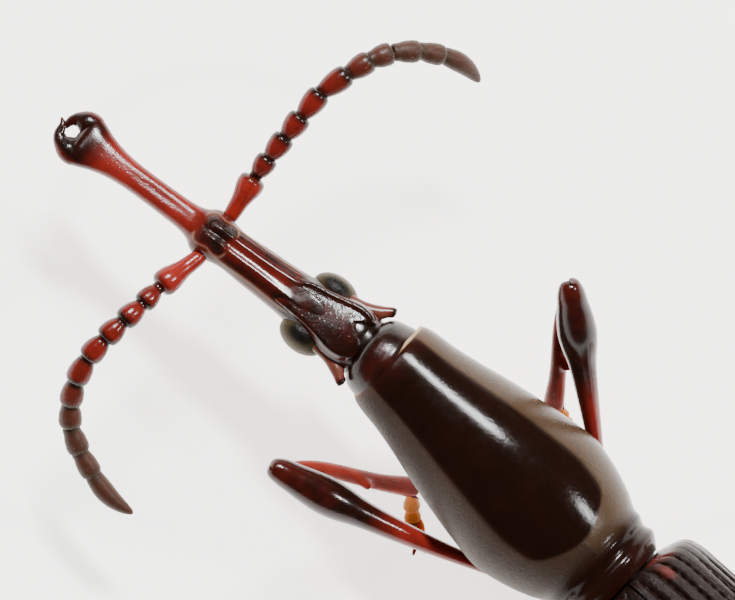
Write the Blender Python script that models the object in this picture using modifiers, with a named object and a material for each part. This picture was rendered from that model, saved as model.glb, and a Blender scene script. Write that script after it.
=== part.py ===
"""Heterobrenthus, a male straight snouted weevil, as a still life size model.

The head points along -Y, the animal's left is +X and up is +Z. The model
stands on the floor at Z = 0. Lengths in this file are millimetres, because
the whole animal is 16 mm long, and each finished node is scaled to metres.
Shapes are worked out from the axis of the body, which lies AXIS_Z above the
floor, with Y = 0 at the hind margin of the pronotum.
"""

import math

import bmesh
import bpy
from mathutils import Matrix, Vector

MM = 0.001
GAP = 0.025
WELD = 1e-5
BELOW_FLOOR = 2.0

# Body
AXIS_Z = 2.05
PRO_LENGTH = 3.61
PRO_HALF_WIDTH = 0.975
PRO_UP = 0.84
PRO_DOWN = 0.76
ELYTRA_LENGTH = 7.80
ELYTRA_HALF_WIDTH = 0.975
ELYTRA_HEIGHT = 0.98
ELYTRA_EDGE_Z = 1.90
ELYTRA_THICKNESS = 0.15
RIBS = 8
RIB_DEPTH = 0.045
BELLY_DEPTH = 0.72
THORAX_END = 3.62
ABDOMEN_END = 7.42

# Head, in its own frame: origin on the axis just behind the head plate, -Y forward
HEAD_AT = (0.064, -3.83, 2.07)
HEAD_YAW = 6.8
HEAD_PITCH = 5.5
HEAD_ROLL = -4.0
EYE_Y = -0.70
EYE_X = 0.305
EYE_RADII = (0.192, 0.285, 0.240)
SNOUT_START = -1.02
SNOUT_NODE = -2.14
TIP_START = -2.34
HINGE_Y = -3.98
JAW_FLATNESS = 0.80
# Out from the middle, along Y from the hinge, height and radius, along a jaw. The tip of
# the left one crosses over the tip of the right one.
JAW_CONTROLS = {
    "left": (
        (0.195, 0.050, 0.000, 0.108),
        (0.205, 0.000, 0.000, 0.128),
        (0.200, -0.070, 0.000, 0.124),
        (0.180, -0.140, 0.004, 0.108),
        (0.148, -0.200, 0.012, 0.086),
        (0.105, -0.245, 0.024, 0.066),
        (0.055, -0.262, 0.038, 0.052),
        (0.010, -0.274, 0.050, 0.042),
        (-0.025, -0.300, 0.055, 0.028),
        (-0.050, -0.330, 0.055, 0.014),
    ),
    "right": (
        (0.195, 0.050, 0.000, 0.108),
        (0.205, 0.000, 0.000, 0.128),
        (0.200, -0.070, 0.000, 0.122),
        (0.182, -0.130, -0.004, 0.108),
        (0.150, -0.182, -0.012, 0.082),
        (0.108, -0.222, -0.024, 0.062),
        (0.062, -0.240, -0.038, 0.048),
        (0.022, -0.246, -0.050, 0.036),
        (-0.005, -0.250, -0.055, 0.022),
    ),
}
# Out from the middle, along Y, height and radius, along the rod on a hind corner
PROCESS_CONTROLS = (
    (0.300, -0.500, 0.090, 0.088),
    (0.322, -0.340, 0.100, 0.086),
    (0.405, -0.150, 0.120, 0.078),
    (0.455, -0.085, 0.130, 0.062),
    (0.483, -0.040, 0.130, 0.058),
    (0.490, 0.000, 0.130, 0.032),
)
ROOT_RADIUS = 0.125

# Antennae, from the snout out: the heading of each joint in degrees from straight out
# sideways, positive to the front, its rise in degrees and its length
FEELERS = {
    "left": {
        "headings": (9, 0, 5, 2, -2, -17, -32, -46, -66, -75, -91),
        "rises": (8, 8, 4, -8, -20, -30, -34, -30, -22, -16, -10),
        "lengths": (0.594, 0.258, 0.292, 0.276, 0.290, 0.326, 0.294, 0.278, 0.294, 0.306, 0.622),
    },
    "right": {
        "headings": (12, 8, 5, 6, 4, -12, -15, -26, -42, -54, -78),
        "rises": (16, 18, 16, 14, 10, 6, 0, -8, -14, -24, -34),
        "lengths": (0.542, 0.252, 0.300, 0.296, 0.336, 0.368, 0.292, 0.254, 0.292, 0.306, 0.602),
    },
}
BEAD_WIDTHS = (0.256, 0.267, 0.278, 0.278, 0.278, 0.272, 0.267, 0.258, 0.248, 0.232)
BEAD_FEET = (0.62, 0.62, 0.62, 0.62, 0.64, 0.70, 0.76, 0.80, 0.82, 0.84)
BEAD_NESTED = 0.10
BEAD_SIDES = 8
FUNICLE_BEADS = 7
CLUB_GAP = 1.4 * GAP
LAST_JOINT_BEND = 0.045
# Share of the way along the joint, then its half width as a share
LAST_JOINT_PROFILE = (
    (-0.04, 0.80),
    (0.06, 0.90),
    (0.30, 1.00),
    (0.55, 0.88),
    (0.77, 0.64),
    (0.93, 0.36),
    (0.995, 0.12),
)
# Share of the way along the first joint, then its radius
SCAPE_PROFILE = (
    (-0.04, 0.055),
    (0.03, 0.088),
    (0.14, 0.096),
    (0.38, 0.106),
    (0.54, 0.126),
    (0.70, 0.150),
    (0.85, 0.155),
    (0.95, 0.132),
    (0.99, 0.098),
)

# Legs: coxa centre, start of the femur, knee, tibia end and claws
COXA_RADIUS = 0.27
COXA_WIDTH = 0.92
TROCHANTER = (0.105, 0.12, 0.105)
LEGS = {
    "fore_left": {
        "coxa": (0.30, -0.86, 1.42),
        "base": (0.70, -0.92, 1.32),
        "knee": (1.715, -3.606, 2.15),
        "ankle": (0.700, -2.430, 0.67),
        "claws": (1.08, -1.90, 0.03),
    },
    "fore_right": {
        "coxa": (-0.30, -0.86, 1.42),
        "base": (-0.70, -0.87, 1.32),
        "knee": (-1.838, -2.680, 3.20),
        "ankle": (-1.025, -1.94, 1.39),
        "claws": (-0.93, -1.38, 0.62),
    },
    "mid_left": {
        "coxa": (0.33, 0.95, 1.36),
        "base": (0.62, 0.98, 1.30),
        "knee": (2.25, 1.35, 2.25),
        "ankle": (2.95, 1.75, 0.42),
        "claws": (3.62, 2.30, 0.03),
    },
    "mid_right": {
        "coxa": (-0.33, 0.95, 1.36),
        "base": (-0.62, 0.98, 1.30),
        "knee": (-2.28, 1.22, 2.22),
        "ankle": (-3.02, 1.52, 0.42),
        "claws": (-3.72, 2.00, 0.03),
    },
    "hind_left": {
        "coxa": (0.36, 3.30, 1.34),
        "base": (0.66, 3.38, 1.28),
        "knee": (2.05, 4.95, 2.20),
        "ankle": (2.62, 5.95, 0.42),
        "claws": (3.05, 6.75, 0.03),
    },
    "hind_right": {
        "coxa": (-0.36, 3.30, 1.34),
        "base": (-0.66, 3.38, 1.28),
        "knee": (-2.15, 4.80, 2.24),
        "ankle": (-2.74, 5.72, 0.42),
        "claws": (-3.20, 6.50, 0.03),
    },
}
LIFTED = "fore_right"
# How far the middle of a thigh and of a shin is bent sideways, besides the rise of both
BENT_THIGH = {"fore_left": (0.066, 0.024, 0.0)}
BENT_SHIN = {"fore_left": (-0.070, -0.050, 0.0), "fore_right": (0.042, -0.044, 0.0)}
# Powers of the way from both ends that shape each bend, and the bend's height with them
THIGH_BEND = (1, 1, 0.25)
SHIN_BEND = (1, 3, 0.1055)
LEG_RISE = 0.02
FEMUR_STOUTNESS = {"fore": 1.0, "mid": 0.92, "hind": 0.95}
SOLE_Z = 0.046
LEG_SIDES = 10
KNEE_RADIUS = 0.072
TIBIA_TOOTH = 0.60
FEMUR_TOOTH_ROW = 5
SPUR_RADIUS = 0.032
ANKLE_RADIUS = 0.075
LOBE = (0.060, 0.130, 0.052)
LOBE_SPREAD = 14.0
LOBE_AT = 0.62
# Share of the way from the ankle to the claws, then the radius
FIRST_JOINT = ((0.02, 0.040), (0.12, 0.055), (0.29, 0.086), (0.33, 0.055))
SECOND_JOINT = ((0.30, 0.038), (0.36, 0.052), (0.48, 0.086), (0.515, 0.055))
# The same with a rise between, as a share of CLAW_LIFT
CLAW_JOINT = (
    (0.58, 0.2, 0.028),
    (0.70, 1.0, 0.033),
    (0.84, 1.3, 0.042),
    (0.94, 0.9, 0.052),
    (0.97, 0.7, 0.030),
)
CLAW_LIFT = 0.045
CLAW_ROOT = 0.94
# Ahead, out, up and radius along a claw
CLAW_HOOK = (
    (0.000, 0.010, 0.000, 0.026),
    (0.055, 0.040, 0.006, 0.024),
    (0.105, 0.062, -0.020, 0.017),
    (0.130, 0.066, -0.058, 0.008),
)
FLOOR_SIZE = 4.0

# Cross sections: points round them and how square they are, 2 being an ellipse
PRO_SIDES, PRO_SQUARE = 24, 2.05
HEAD_SIDES, HEAD_SQUARE = 18, 2.3
TIP_SIDES, TIP_SQUARE = 16, 2.5
ELYTRA_SQUARE = 2.3
BELLY_SQUARE = 2.2
HEAD_GROOVE = 0.02
SNOUT_GROOVE = 0.03
DOME_STEPS = 6

# Outlines: share of the length, then the half width, the height and the depth as shares
PRO_OUTLINE = (
    (0.000, 0.570, 0.62, 0.62),
    (0.022, 0.640, 0.69, 0.67),
    (0.050, 0.700, 0.74, 0.70),
    (0.080, 0.672, 0.70, 0.70),
    (0.110, 0.722, 0.76, 0.76),
    (0.135, 0.730, 0.76, 0.80),
    (0.180, 0.812, 0.84, 0.88),
    (0.240, 0.896, 0.91, 0.97),
    (0.310, 0.965, 0.97, 1.00),
    (0.375, 1.000, 1.00, 1.00),
    (0.480, 0.953, 1.00, 0.97),
    (0.580, 0.888, 0.97, 0.92),
    (0.680, 0.812, 0.90, 0.86),
    (0.790, 0.714, 0.79, 0.78),
    (0.880, 0.645, 0.70, 0.70),
    (0.950, 0.612, 0.645, 0.64),
    (0.982, 0.585, 0.61, 0.60),
    (1.000, 0.550, 0.57, 0.57),
)
# Share of the elytra's length, half width and height as shares
ELYTRA_OUTLINE = (
    (0.000, 0.580, 0.70),
    (0.014, 0.870, 0.80),
    (0.035, 0.962, 0.87),
    (0.070, 0.985, 0.94),
    (0.130, 1.000, 0.985),
    (0.260, 0.993, 1.00),
    (0.450, 0.972, 1.00),
    (0.620, 0.935, 0.96),
    (0.760, 0.850, 0.87),
    (0.860, 0.720, 0.74),
    (0.925, 0.570, 0.59),
    (0.965, 0.420, 0.44),
    (0.990, 0.250, 0.28),
    (1.000, 0.120, 0.16),
)
# Distance along Y, half width, height above and depth below the snout's axis
HEAD_OUTLINE = (
    (0.06, 0.260, 0.25, 0.25),
    (-0.07, 0.350, 0.325, 0.33),
    (-0.15, 0.385, 0.355, 0.36),
    (-0.26, 0.395, 0.355, 0.365),
    (-0.42, 0.380, 0.34, 0.35),
    (-0.55, 0.350, 0.325, 0.335),
    (-0.72, 0.330, 0.305, 0.31),
    (-0.90, 0.318, 0.285, 0.28),
    (-1.02, 0.290, 0.265, 0.26),
)
# The neck's half width along Y, and its height and depth as a share of that
NECK_OUTLINE = (
    (-0.10, 0.300),
    (-0.03, 0.395),
    (0.06, 0.432),
    (0.17, 0.490),
    (0.28, 0.504),
    (0.40, 0.455),
    (0.50, 0.330),
)
NECK_ROUND = 0.93
SNOUT_OUTLINE = (
    (-1.02, 0.290, 0.265, 0.260),
    (-1.20, 0.272, 0.245, 0.235),
    (-1.60, 0.255, 0.222, 0.215),
    (-1.88, 0.238, 0.212, 0.210),
    (-2.00, 0.262, 0.230, 0.220),
    (-2.10, 0.292, 0.255, 0.235),
    (-2.20, 0.296, 0.250, 0.235),
    (-2.28, 0.272, 0.215, 0.215),
    (-2.34, 0.215, 0.185, 0.185),
)
TIP_OUTLINE = (
    (-2.34, 0.212, 0.182, 0.182),
    (-2.44, 0.172, 0.160, 0.160),
    (-2.70, 0.160, 0.148, 0.150),
    (-3.20, 0.158, 0.126, 0.148),
    (-3.45, 0.180, 0.126, 0.152),
    (-3.65, 0.228, 0.128, 0.165),
    (-3.80, 0.284, 0.134, 0.175),
    (-3.92, 0.328, 0.136, 0.172),
    (-3.98, 0.334, 0.122, 0.150),
)
# Share of the way along the leg piece, then the radius
FEMUR_PROFILE = (
    (0.00, 0.080),
    (0.15, 0.077),
    (0.365, 0.106),
    (0.50, 0.128),
    (0.66, 0.164),
    (0.735, 0.203),
    (0.80, 0.222),
    (0.87, 0.207),
    (0.94, 0.177),
    (1.00, 0.154),
    (1.038, 0.116),
    (1.055, 0.055),
)
TIBIA_PROFILE = (
    (0.00, 0.066),
    (0.08, 0.075),
    (0.25, 0.080),
    (0.50, 0.092),
    (0.75, 0.098),
    (0.93, 0.114),
    (1.00, 0.112),
    (1.02, 0.078),
)

COLOURS = {
    "shell": ((0.035, 0.012, 0.008, 1.0), 0.18),
    "red": ((0.30, 0.035, 0.015, 1.0), 0.22),
    "bead": ((0.38, 0.045, 0.018, 1.0), 0.25),
    "eye": ((0.09, 0.085, 0.06, 1.0), 0.30),
    "amber": ((0.45, 0.20, 0.05, 1.0), 0.40),
}


def clear_scene():
    for obj in list(bpy.data.objects):
        bpy.data.objects.remove(obj, do_unlink=True)


def collection(name, hidden=False):
    made = bpy.data.collections.new(name)
    made.hide_render = hidden
    bpy.context.scene.collection.children.link(made)
    return made


def new_object(name, mesh):
    obj = bpy.data.objects.new(name, mesh)
    bpy.context.scene.collection.objects.link(obj)
    return obj


def material(kind):
    """The plain colour of a node."""
    found = bpy.data.materials.get(kind)
    if found:
        return found
    colour, roughness = COLOURS[kind]
    made = bpy.data.materials.new(kind)
    made.use_nodes = True
    shader = made.node_tree.nodes["Principled BSDF"]
    shader.inputs["Base Color"].default_value = colour
    shader.inputs["Roughness"].default_value = roughness
    shader.inputs["Metallic"].default_value = 0.0
    return made


def hermite(a, b, slope_a, slope_b, width, f):
    """The smooth curve between two values with given slopes."""
    square, cube = f * f, f * f * f
    return (
        a * (2 * cube - 3 * square + 1)
        + b * (3 * square - 2 * cube)
        + slope_a * width * (cube - 2 * square + f)
        + slope_b * width * (cube - square)
    )


def look_up(table, x):
    """The columns of an outline at x, joined smoothly between its rows."""
    rows = sorted(table)
    k = 0
    while k < len(rows) - 2 and x > rows[k + 1][0]:
        k += 1
    low, high = rows[k], rows[k + 1]
    before, after = rows[max(k - 1, 0)], rows[min(k + 2, len(rows) - 1)]
    width = high[0] - low[0]
    f = max(0.0, min(1.0, (x - low[0]) / width))
    values = []
    for c in range(1, len(low)):
        straight = (high[c] - low[c]) / width
        slope_low = (high[c] - before[c]) / (high[0] - before[0]) if k else straight
        slope_high = (after[c] - low[c]) / (after[0] - low[0]) if after is not high else straight
        values.append(hermite(low[c], high[c], slope_low, slope_high, width, f))
    return values


def stations(table, parts):
    """Places along an outline: each stretch between two rows is cut into parts."""
    rows = [row[0] for row in table]
    places = [a + (b - a) * i / parts for a, b in zip(rows, rows[1:]) for i in range(parts)]
    return places + [rows[-1]]


def curve_through(controls, count):
    """Points on a smooth curve through the controls, for any number of values each."""
    last = len(controls) - 1
    points = []
    for i in range(count):
        t = i * last / (count - 1)
        k = min(int(t), last - 1)
        f = t - k
        rows = [controls[max(0, min(last, k + j))] for j in (-1, 0, 1, 2)]
        before, low, high, after = rows
        points.append(
            tuple(
                hermite(b, c, (c - a) / 2, (d - b) / 2, 1.0, f)
                for a, b, c, d in zip(before, low, high, after)
            )
        )
    return points


def signed_power(value, power):
    return math.copysign(abs(value) ** power, value)


def ring(y, half_width, up, down, count, square=2.0, groove=0.0):
    """One cross section, a rounded box round the local axis, with a groove along its top."""
    points = []
    for i in range(count):
        angle = math.tau * (i + 0.5) / count
        x = half_width * signed_power(math.cos(angle), 2 / square)
        s = signed_power(math.sin(angle), 2 / square)
        z = s * (up if s > 0 else down)
        if s > 0:
            z -= groove * math.exp(-((x / (0.42 * half_width)) ** 2))
        points.append(Vector((x, y, z)))
    return points


def face_out(bm):
    """Turns the faces of a closed mesh to point out."""
    bmesh.ops.recalc_face_normals(bm, faces=bm.faces)
    if bm.calc_volume(signed=True) < 0:
        bmesh.ops.reverse_faces(bm, faces=bm.faces)


def loft(name, rings):
    """A closed skin over cross sections with the same number of points."""
    mesh = bpy.data.meshes.new(name)
    bm = bmesh.new()
    rows = [[bm.verts.new(point) for point in points] for points in rings]
    count = len(rows[0])
    for a, b in zip(rows, rows[1:]):
        for i in range(count):
            j = (i + 1) % count
            bm.faces.new((a[i], a[j], b[j], b[i]))
    bm.faces.new(rows[0])
    bm.faces.new(rows[-1])
    face_out(bm)
    bm.to_mesh(mesh)
    bm.free()
    return new_object(name, mesh)


def transformed(obj, matrix):
    obj.data.transform(matrix)
    return obj


def ball(name, centre, radii, segments=14, rows=9, turn=None):
    """An ellipsoid, turned about its centre when a matrix is given."""
    mesh = bpy.data.meshes.new(name)
    bm = bmesh.new()
    bmesh.ops.create_uvsphere(bm, u_segments=segments, v_segments=rows, radius=1.0)
    bm.to_mesh(mesh)
    bm.free()
    matrix = Matrix.Translation(centre)
    if turn is not None:
        matrix = matrix @ turn
    mesh.transform(matrix @ Matrix.Diagonal((*radii, 1.0)))
    return new_object(name, mesh)


def aim(direction):
    """The turn that takes +Z to a direction."""
    return Vector(direction).to_track_quat("Z", "Y").to_matrix().to_4x4()


def spike(name, foot, tip, radius, sides=6):
    """A thin cone from its foot to its tip."""
    foot, tip = Vector(foot), Vector(tip)
    mesh = bpy.data.meshes.new(name)
    bm = bmesh.new()
    length = (tip - foot).length
    bmesh.ops.create_cone(
        bm, cap_ends=True, segments=sides, radius1=radius, radius2=radius * 0.12, depth=length
    )
    bm.to_mesh(mesh)
    bm.free()
    mesh.transform(Matrix.Translation((foot + tip) / 2) @ aim(tip - foot))
    return new_object(name, mesh)


def evaluated_mesh(obj):
    graph = bpy.context.evaluated_depsgraph_get()
    return bpy.data.meshes.new_from_object(obj.evaluated_get(graph))


def tube(name, points, sides=LEG_SIDES, grow=0.0):
    """A bent tube with its own radius at each point, from a curve with a bevel."""
    curve = bpy.data.curves.new(name, "CURVE")
    curve.dimensions = "3D"
    curve.bevel_depth = 1.0
    curve.bevel_resolution = sides // 2 - 2
    curve.use_fill_caps = True
    spline = curve.splines.new("POLY")
    spline.points.add(len(points) - 1)
    for point, (x, y, z, radius) in zip(spline.points, points):
        point.co = (x, y, z, 1.0)
        point.radius = radius + grow
    guide = new_object(name + "_guide", curve)
    mesh = evaluated_mesh(guide)
    bpy.data.objects.remove(guide)
    bm = bmesh.new()
    bm.from_mesh(mesh)
    bmesh.ops.remove_doubles(bm, verts=bm.verts, dist=WELD)
    face_out(bm)
    bm.to_mesh(mesh)
    bm.free()
    return new_object(name, mesh)


def turned(name, profile, steps=10):
    """A shape turned about Z from its profile, top first, as a Screw."""
    mesh = bpy.data.meshes.new(name)
    points = [(x, 0.0, z) for x, z in profile]
    mesh.from_pydata(points, [(i, i + 1) for i in range(len(points) - 1)], [])
    guide = new_object(name + "_guide", mesh)
    screw = guide.modifiers.new("turn", "SCREW")
    screw.axis = "Z"
    screw.steps = steps
    screw.render_steps = steps
    screw.use_merge_vertices = True
    screw.merge_threshold = WELD
    screw.use_smooth_shade = True
    made = evaluated_mesh(guide)
    bpy.data.objects.remove(guide)
    bm = bmesh.new()
    bm.from_mesh(made)
    bmesh.ops.remove_doubles(bm, verts=bm.verts, dist=WELD)
    face_out(bm)
    bm.to_mesh(made)
    bm.free()
    return new_object(name, made)


def combine(body, others, operation, solver):
    """One Boolean of a body with a collection of closed meshes, applied."""
    group = collection(body.name + "_" + operation.lower(), hidden=True)
    for other in others:
        bpy.context.scene.collection.objects.unlink(other)
        group.objects.link(other)
        other.hide_render = True
        other.display_type = "WIRE"
    modifier = body.modifiers.new(operation, "BOOLEAN")
    modifier.operation = operation
    modifier.operand_type = "COLLECTION"
    modifier.collection = group
    modifier.solver = solver
    mesh = evaluated_mesh(body)
    body.modifiers.clear()
    body.data = mesh
    for other in others:
        bpy.data.objects.remove(other, do_unlink=True)
    bpy.data.collections.remove(group)


def shells(bm):
    """The connected surfaces of a mesh, as lists of faces."""
    left = set(bm.faces)
    found = []
    while left:
        stack = [left.pop()]
        shell = []
        while stack:
            face = stack.pop()
            shell.append(face)
            for edge in face.edges:
                for other in edge.link_faces:
                    if other in left:
                        left.remove(other)
                        stack.append(other)
        found.append(shell)
    return found


def keep_largest(obj):
    """Drops loose scraps and sealed hollows, and tidies the seams of a union."""
    bm = bmesh.new()
    bm.from_mesh(obj.data)
    bmesh.ops.remove_doubles(bm, verts=bm.verts, dist=WELD * 10)
    bmesh.ops.dissolve_degenerate(bm, edges=bm.edges, dist=WELD * 10)
    parts = sorted(shells(bm), key=lambda shell: sum(face.calc_area() for face in shell))
    for shell in parts[:-1]:
        bmesh.ops.delete(bm, geom=shell, context="FACES")
    loose = [vert for vert in bm.verts if not vert.link_faces]
    bmesh.ops.delete(bm, geom=loose, context="VERTS")
    face_out(bm)
    bm.to_mesh(obj.data)
    bm.free()


NODES = []


def node(name, kind, pieces, cutters=(), pivot=(0.0, 0.0, 0.0), solver="EXACT"):
    """A finished node: its pieces in one body, cut clear of its neighbours."""
    body = pieces[0]
    body.name = name
    if len(pieces) > 1:
        combine(body, pieces[1:], "UNION", solver)
    if cutters:
        combine(body, list(cutters), "DIFFERENCE", solver)
    keep_largest(body)
    body.data.name = name
    body.data.transform(Matrix.Scale(MM, 4) @ Matrix.Translation(-Vector(pivot)))
    body.location = Vector(pivot) * MM
    body.data.materials.clear()
    body.data.materials.append(material(kind))
    body.data.shade_smooth()
    body.data.set_sharp_from_angle(angle=math.radians(40))
    NODES.append(body)
    return body


def head_frame():
    """From the head's own frame to the body's."""
    turn = (
        Matrix.Rotation(math.radians(HEAD_YAW), 4, "Z")
        @ Matrix.Rotation(math.radians(HEAD_PITCH), 4, "X")
        @ Matrix.Rotation(math.radians(HEAD_ROLL), 4, "Y")
    )
    return Matrix.Translation(HEAD_AT) @ turn


def neck(grow=0.0):
    """The smooth ball joint that the head turns on, in the opening of the prothorax."""
    rings = []
    last = len(NECK_OUTLINE) - 1
    for i, (y, half_width) in enumerate(NECK_OUTLINE):
        y += grow * ((i == last) - (i == 0))
        wide = half_width + grow
        tall = half_width * NECK_ROUND + grow
        rings.append(ring(y, wide, tall, tall, HEAD_SIDES))
    return transformed(loft("neck", rings), head_frame())


def coxa_ball(leg, grow=0.0):
    radius = COXA_RADIUS + grow
    return ball("coxa", LEGS[leg]["coxa"], (radius * COXA_WIDTH, radius, radius), 10, 7)


def pronotum_rings():
    rings = []
    for share in stations(PRO_OUTLINE, 1):
        wide, high, deep = look_up(PRO_OUTLINE, share)
        y, half_width = -PRO_LENGTH * share, PRO_HALF_WIDTH * wide
        points = ring(y, half_width, PRO_UP * high, PRO_DOWN * deep, PRO_SIDES, PRO_SQUARE)
        rings.append([point + Vector((0, 0, AXIS_Z)) for point in points])
    return rings


def prothorax():
    cutters = [neck(GAP), coxa_ball("fore_left", GAP), coxa_ball("fore_right", GAP)]
    node("prothorax", "shell", [loft("prothorax", pronotum_rings())], cutters, (0, 0, AXIS_Z))


def elytra_places():
    return stations(ELYTRA_OUTLINE, 1)


def arc(width, height, count, square=ELYTRA_SQUARE):
    """Points of a quarter section from the middle line down to the side."""
    points = []
    for i in range(count + 1):
        angle = math.pi / 2 * (1 - i / count)
        x = width * signed_power(math.cos(angle), 2 / square)
        z = height * signed_power(math.sin(angle), 2 / square)
        points.append((max(x, GAP / 2), z))
    return points


def ribbed_arc(width, height):
    """The outer quarter section of a wing case: raised ribs between sunk rows of pits."""
    steps = RIBS * 2
    depth = RIB_DEPTH * min(1.0, width / 0.6)
    points = arc(width, height, steps)
    ribbed = []
    for i, (x, z) in enumerate(points):
        sink = depth if i % 2 and i < steps - 1 else 0.0
        out = Vector((x / width**2, z / height**2)).normalized()
        ribbed.append((max(x - sink * out.x, GAP / 2), z - sink * out.y))
    return ribbed


def elytron(side):
    """One wing case, a ribbed shell over the back."""
    rings = []
    inner = ELYTRA_THICKNESS
    for share in elytra_places():
        wide, high = look_up(ELYTRA_OUTLINE, share)
        width, height = ELYTRA_HALF_WIDTH * wide, ELYTRA_HEIGHT * high
        thin = min(inner, width * 0.5)
        under = arc(width - thin, max(height - thin, 0.06), 7)
        section = ribbed_arc(width, height) + under[::-1]
        y = GAP + ELYTRA_LENGTH * share
        rings.append([Vector((side * x, y, ELYTRA_EDGE_Z + z)) for x, z in section])
    name = "elytron_left" if side > 0 else "elytron_right"
    node(name, "shell", [loft(name, rings)], (), (0, GAP, ELYTRA_EDGE_Z))


def core_ring(y):
    """A section of the body under the wing cases: a dome inside them, and the belly below."""
    share = (y - GAP) / ELYTRA_LENGTH
    wide, high = look_up(ELYTRA_OUTLINE, share)
    width, height = ELYTRA_HALF_WIDTH * wide, ELYTRA_HEIGHT * high
    inset = ELYTRA_THICKNESS + GAP
    dome = arc(width - inset, max(height - inset, 0.05), DOME_STEPS)
    ledge = GAP * 1.2
    belly_width = width - 0.03
    depth = BELLY_DEPTH * (0.35 + 0.65 * min(1.0, wide))
    belly = [(x, -ledge - z) for x, z in arc(belly_width, depth - ledge, DOME_STEPS, BELLY_SQUARE)[::-1]]
    half = dome + belly
    left = [Vector((x, y, ELYTRA_EDGE_Z + z)) for x, z in half]
    right = [Vector((-x, y, ELYTRA_EDGE_Z + z)) for x, z in reversed(half)]
    return left + right


def body_places(start, end):
    inside = [GAP + ELYTRA_LENGTH * share for share in elytra_places()]
    return [start] + [y for y in inside if start + 0.05 < y < end - 0.05] + [end]


def thorax():
    rings = [core_ring(y) for y in body_places(GAP + 0.04, THORAX_END)]
    legs = ("mid_left", "mid_right", "hind_left", "hind_right")
    cutters = [coxa_ball(leg, GAP) for leg in legs]
    node("thorax", "shell", [loft("thorax", rings)], cutters, (0, THORAX_END / 2, AXIS_Z))


def abdomen():
    rings = [core_ring(y) for y in body_places(THORAX_END + GAP, ABDOMEN_END)]
    node("abdomen", "shell", [loft("abdomen", rings)], (), (0, THORAX_END, AXIS_Z))


def outline_rings(table, count, square, groove, parts=1):
    rings = []
    for y in stations(table, parts):
        wide, up, down = look_up(table, y)
        rings.append(ring(y, wide, up, down, count, square, groove))
    return rings


def eye(side, grow=0.0):
    radii = [radius + grow for radius in EYE_RADII]
    return transformed(ball("eye", (side * EYE_X, EYE_Y, -0.02), radii, 14, 9), head_frame())


def hind_process(side):
    """The knobbed rod that points back from each hind corner of the head."""
    controls = [(side * x, y, z, radius) for x, y, z, radius in PROCESS_CONTROLS]
    return transformed(tube("process", curve_through(controls, 8), 8), head_frame())


def head():
    rings = outline_rings(HEAD_OUTLINE, HEAD_SIDES, HEAD_SQUARE, HEAD_GROOVE)
    skull = transformed(loft("head", rings), head_frame())
    pieces = [skull, neck(), hind_process(1), hind_process(-1)]
    node("head", "shell", pieces, [eye(1, GAP), eye(-1, GAP)], HEAD_AT)
    node("eye_left", "eye", [eye(1)], (), head_frame() @ Vector((EYE_X, EYE_Y, 0)))
    node("eye_right", "eye", [eye(-1)], (), head_frame() @ Vector((-EYE_X, EYE_Y, 0)))


def scape_root(side):
    """Where the antenna leaves the swollen middle of the snout."""
    return head_frame() @ Vector((side * 0.275, SNOUT_NODE, 0.03))


def jaw(side, grow=0.0):
    """A short thick jaw, flat above and below, bent in to meet the other one in front."""
    controls = JAW_CONTROLS["left" if side > 0 else "right"]
    points = [(side * x, HINGE_Y + y, z, radius + grow) for x, y, z, radius in controls]
    flattened = Matrix.Diagonal((1.0, 1.0, JAW_FLATNESS, 1.0))
    return transformed(tube("jaw", points, 8), head_frame() @ flattened)


def snout():
    frame = head_frame()
    start = Matrix.Translation((0, -GAP, 0))
    base = loft("rostrum_base", outline_rings(SNOUT_OUTLINE, HEAD_SIDES, HEAD_SQUARE, SNOUT_GROOVE))
    roots = [ball("root", scape_root(side), (ROOT_RADIUS,) * 3, 12, 8) for side in (1, -1)]
    pivot = frame @ Vector((0, SNOUT_START, 0))
    node("rostrum_base", "red", [transformed(base, frame @ start)], roots, pivot)
    tip = loft("rostrum_tip", outline_rings(TIP_OUTLINE, TIP_SIDES, TIP_SQUARE, 0.0))
    jaws = [jaw(side, GAP) for side in (1, -1)]
    pivot = frame @ Vector((0, TIP_START, 0))
    node("rostrum_tip", "red", [transformed(tip, frame @ start @ start)], jaws, pivot)
    for side, label in ((1, "left"), (-1, "right")):
        node(f"mandible_{label}", "shell", [jaw(side)], (), frame @ Vector((side * 0.2, HINGE_Y, 0)))


def feeler_path(side, feeler):
    """The joints of an antenna, from the snout out to its tip."""
    points = [scape_root(side)]
    for length, heading, rise in zip(feeler["lengths"], feeler["headings"], feeler["rises"]):
        turn, lift = math.radians(heading), math.radians(rise)
        level = math.cos(lift)
        step = Vector((side * math.cos(turn) * level, -math.sin(turn) * level, math.sin(lift)))
        points.append(points[-1] + step * length)
    return points


def bead(start, end, width, foot, nested):
    """A pear shaped joint, narrow at its foot, which may lie in the end of the one before."""
    direction = end - start
    low = -BEAD_NESTED if nested else 0.0
    shares = ((0.0, 0.985), (0.62, 0.975), (0.94, 0.84), (1.0, 0.66), (0.74 + 0.2 * foot, 0.32))
    shares += ((foot, low), (0.0, low))
    profile = [(width / 2 * across, direction.length * along) for across, along in shares]
    made = turned("bead", profile, BEAD_SIDES)
    return transformed(made, Matrix.Translation(start) @ aim(direction))


def last_joint(start, end, width, side):
    """The long joint at the antenna's end, a little bent and tapering to a blunt point."""
    points = []
    for along, across in LAST_JOINT_PROFILE:
        bend = side * LAST_JOINT_BEND * math.sin(math.pi * max(along, 0.0))
        points.append((*(start.lerp(end, along) + Vector((bend, 0, 0))), across * width / 2))
    return tube("last_joint", points, 8)


def scape(start, end):
    """The long first joint: thin at its root and clubbed at its end."""
    points = [(*start.lerp(end, share), radius) for share, radius in SCAPE_PROFILE]
    return tube("scape", points, 8)


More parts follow.
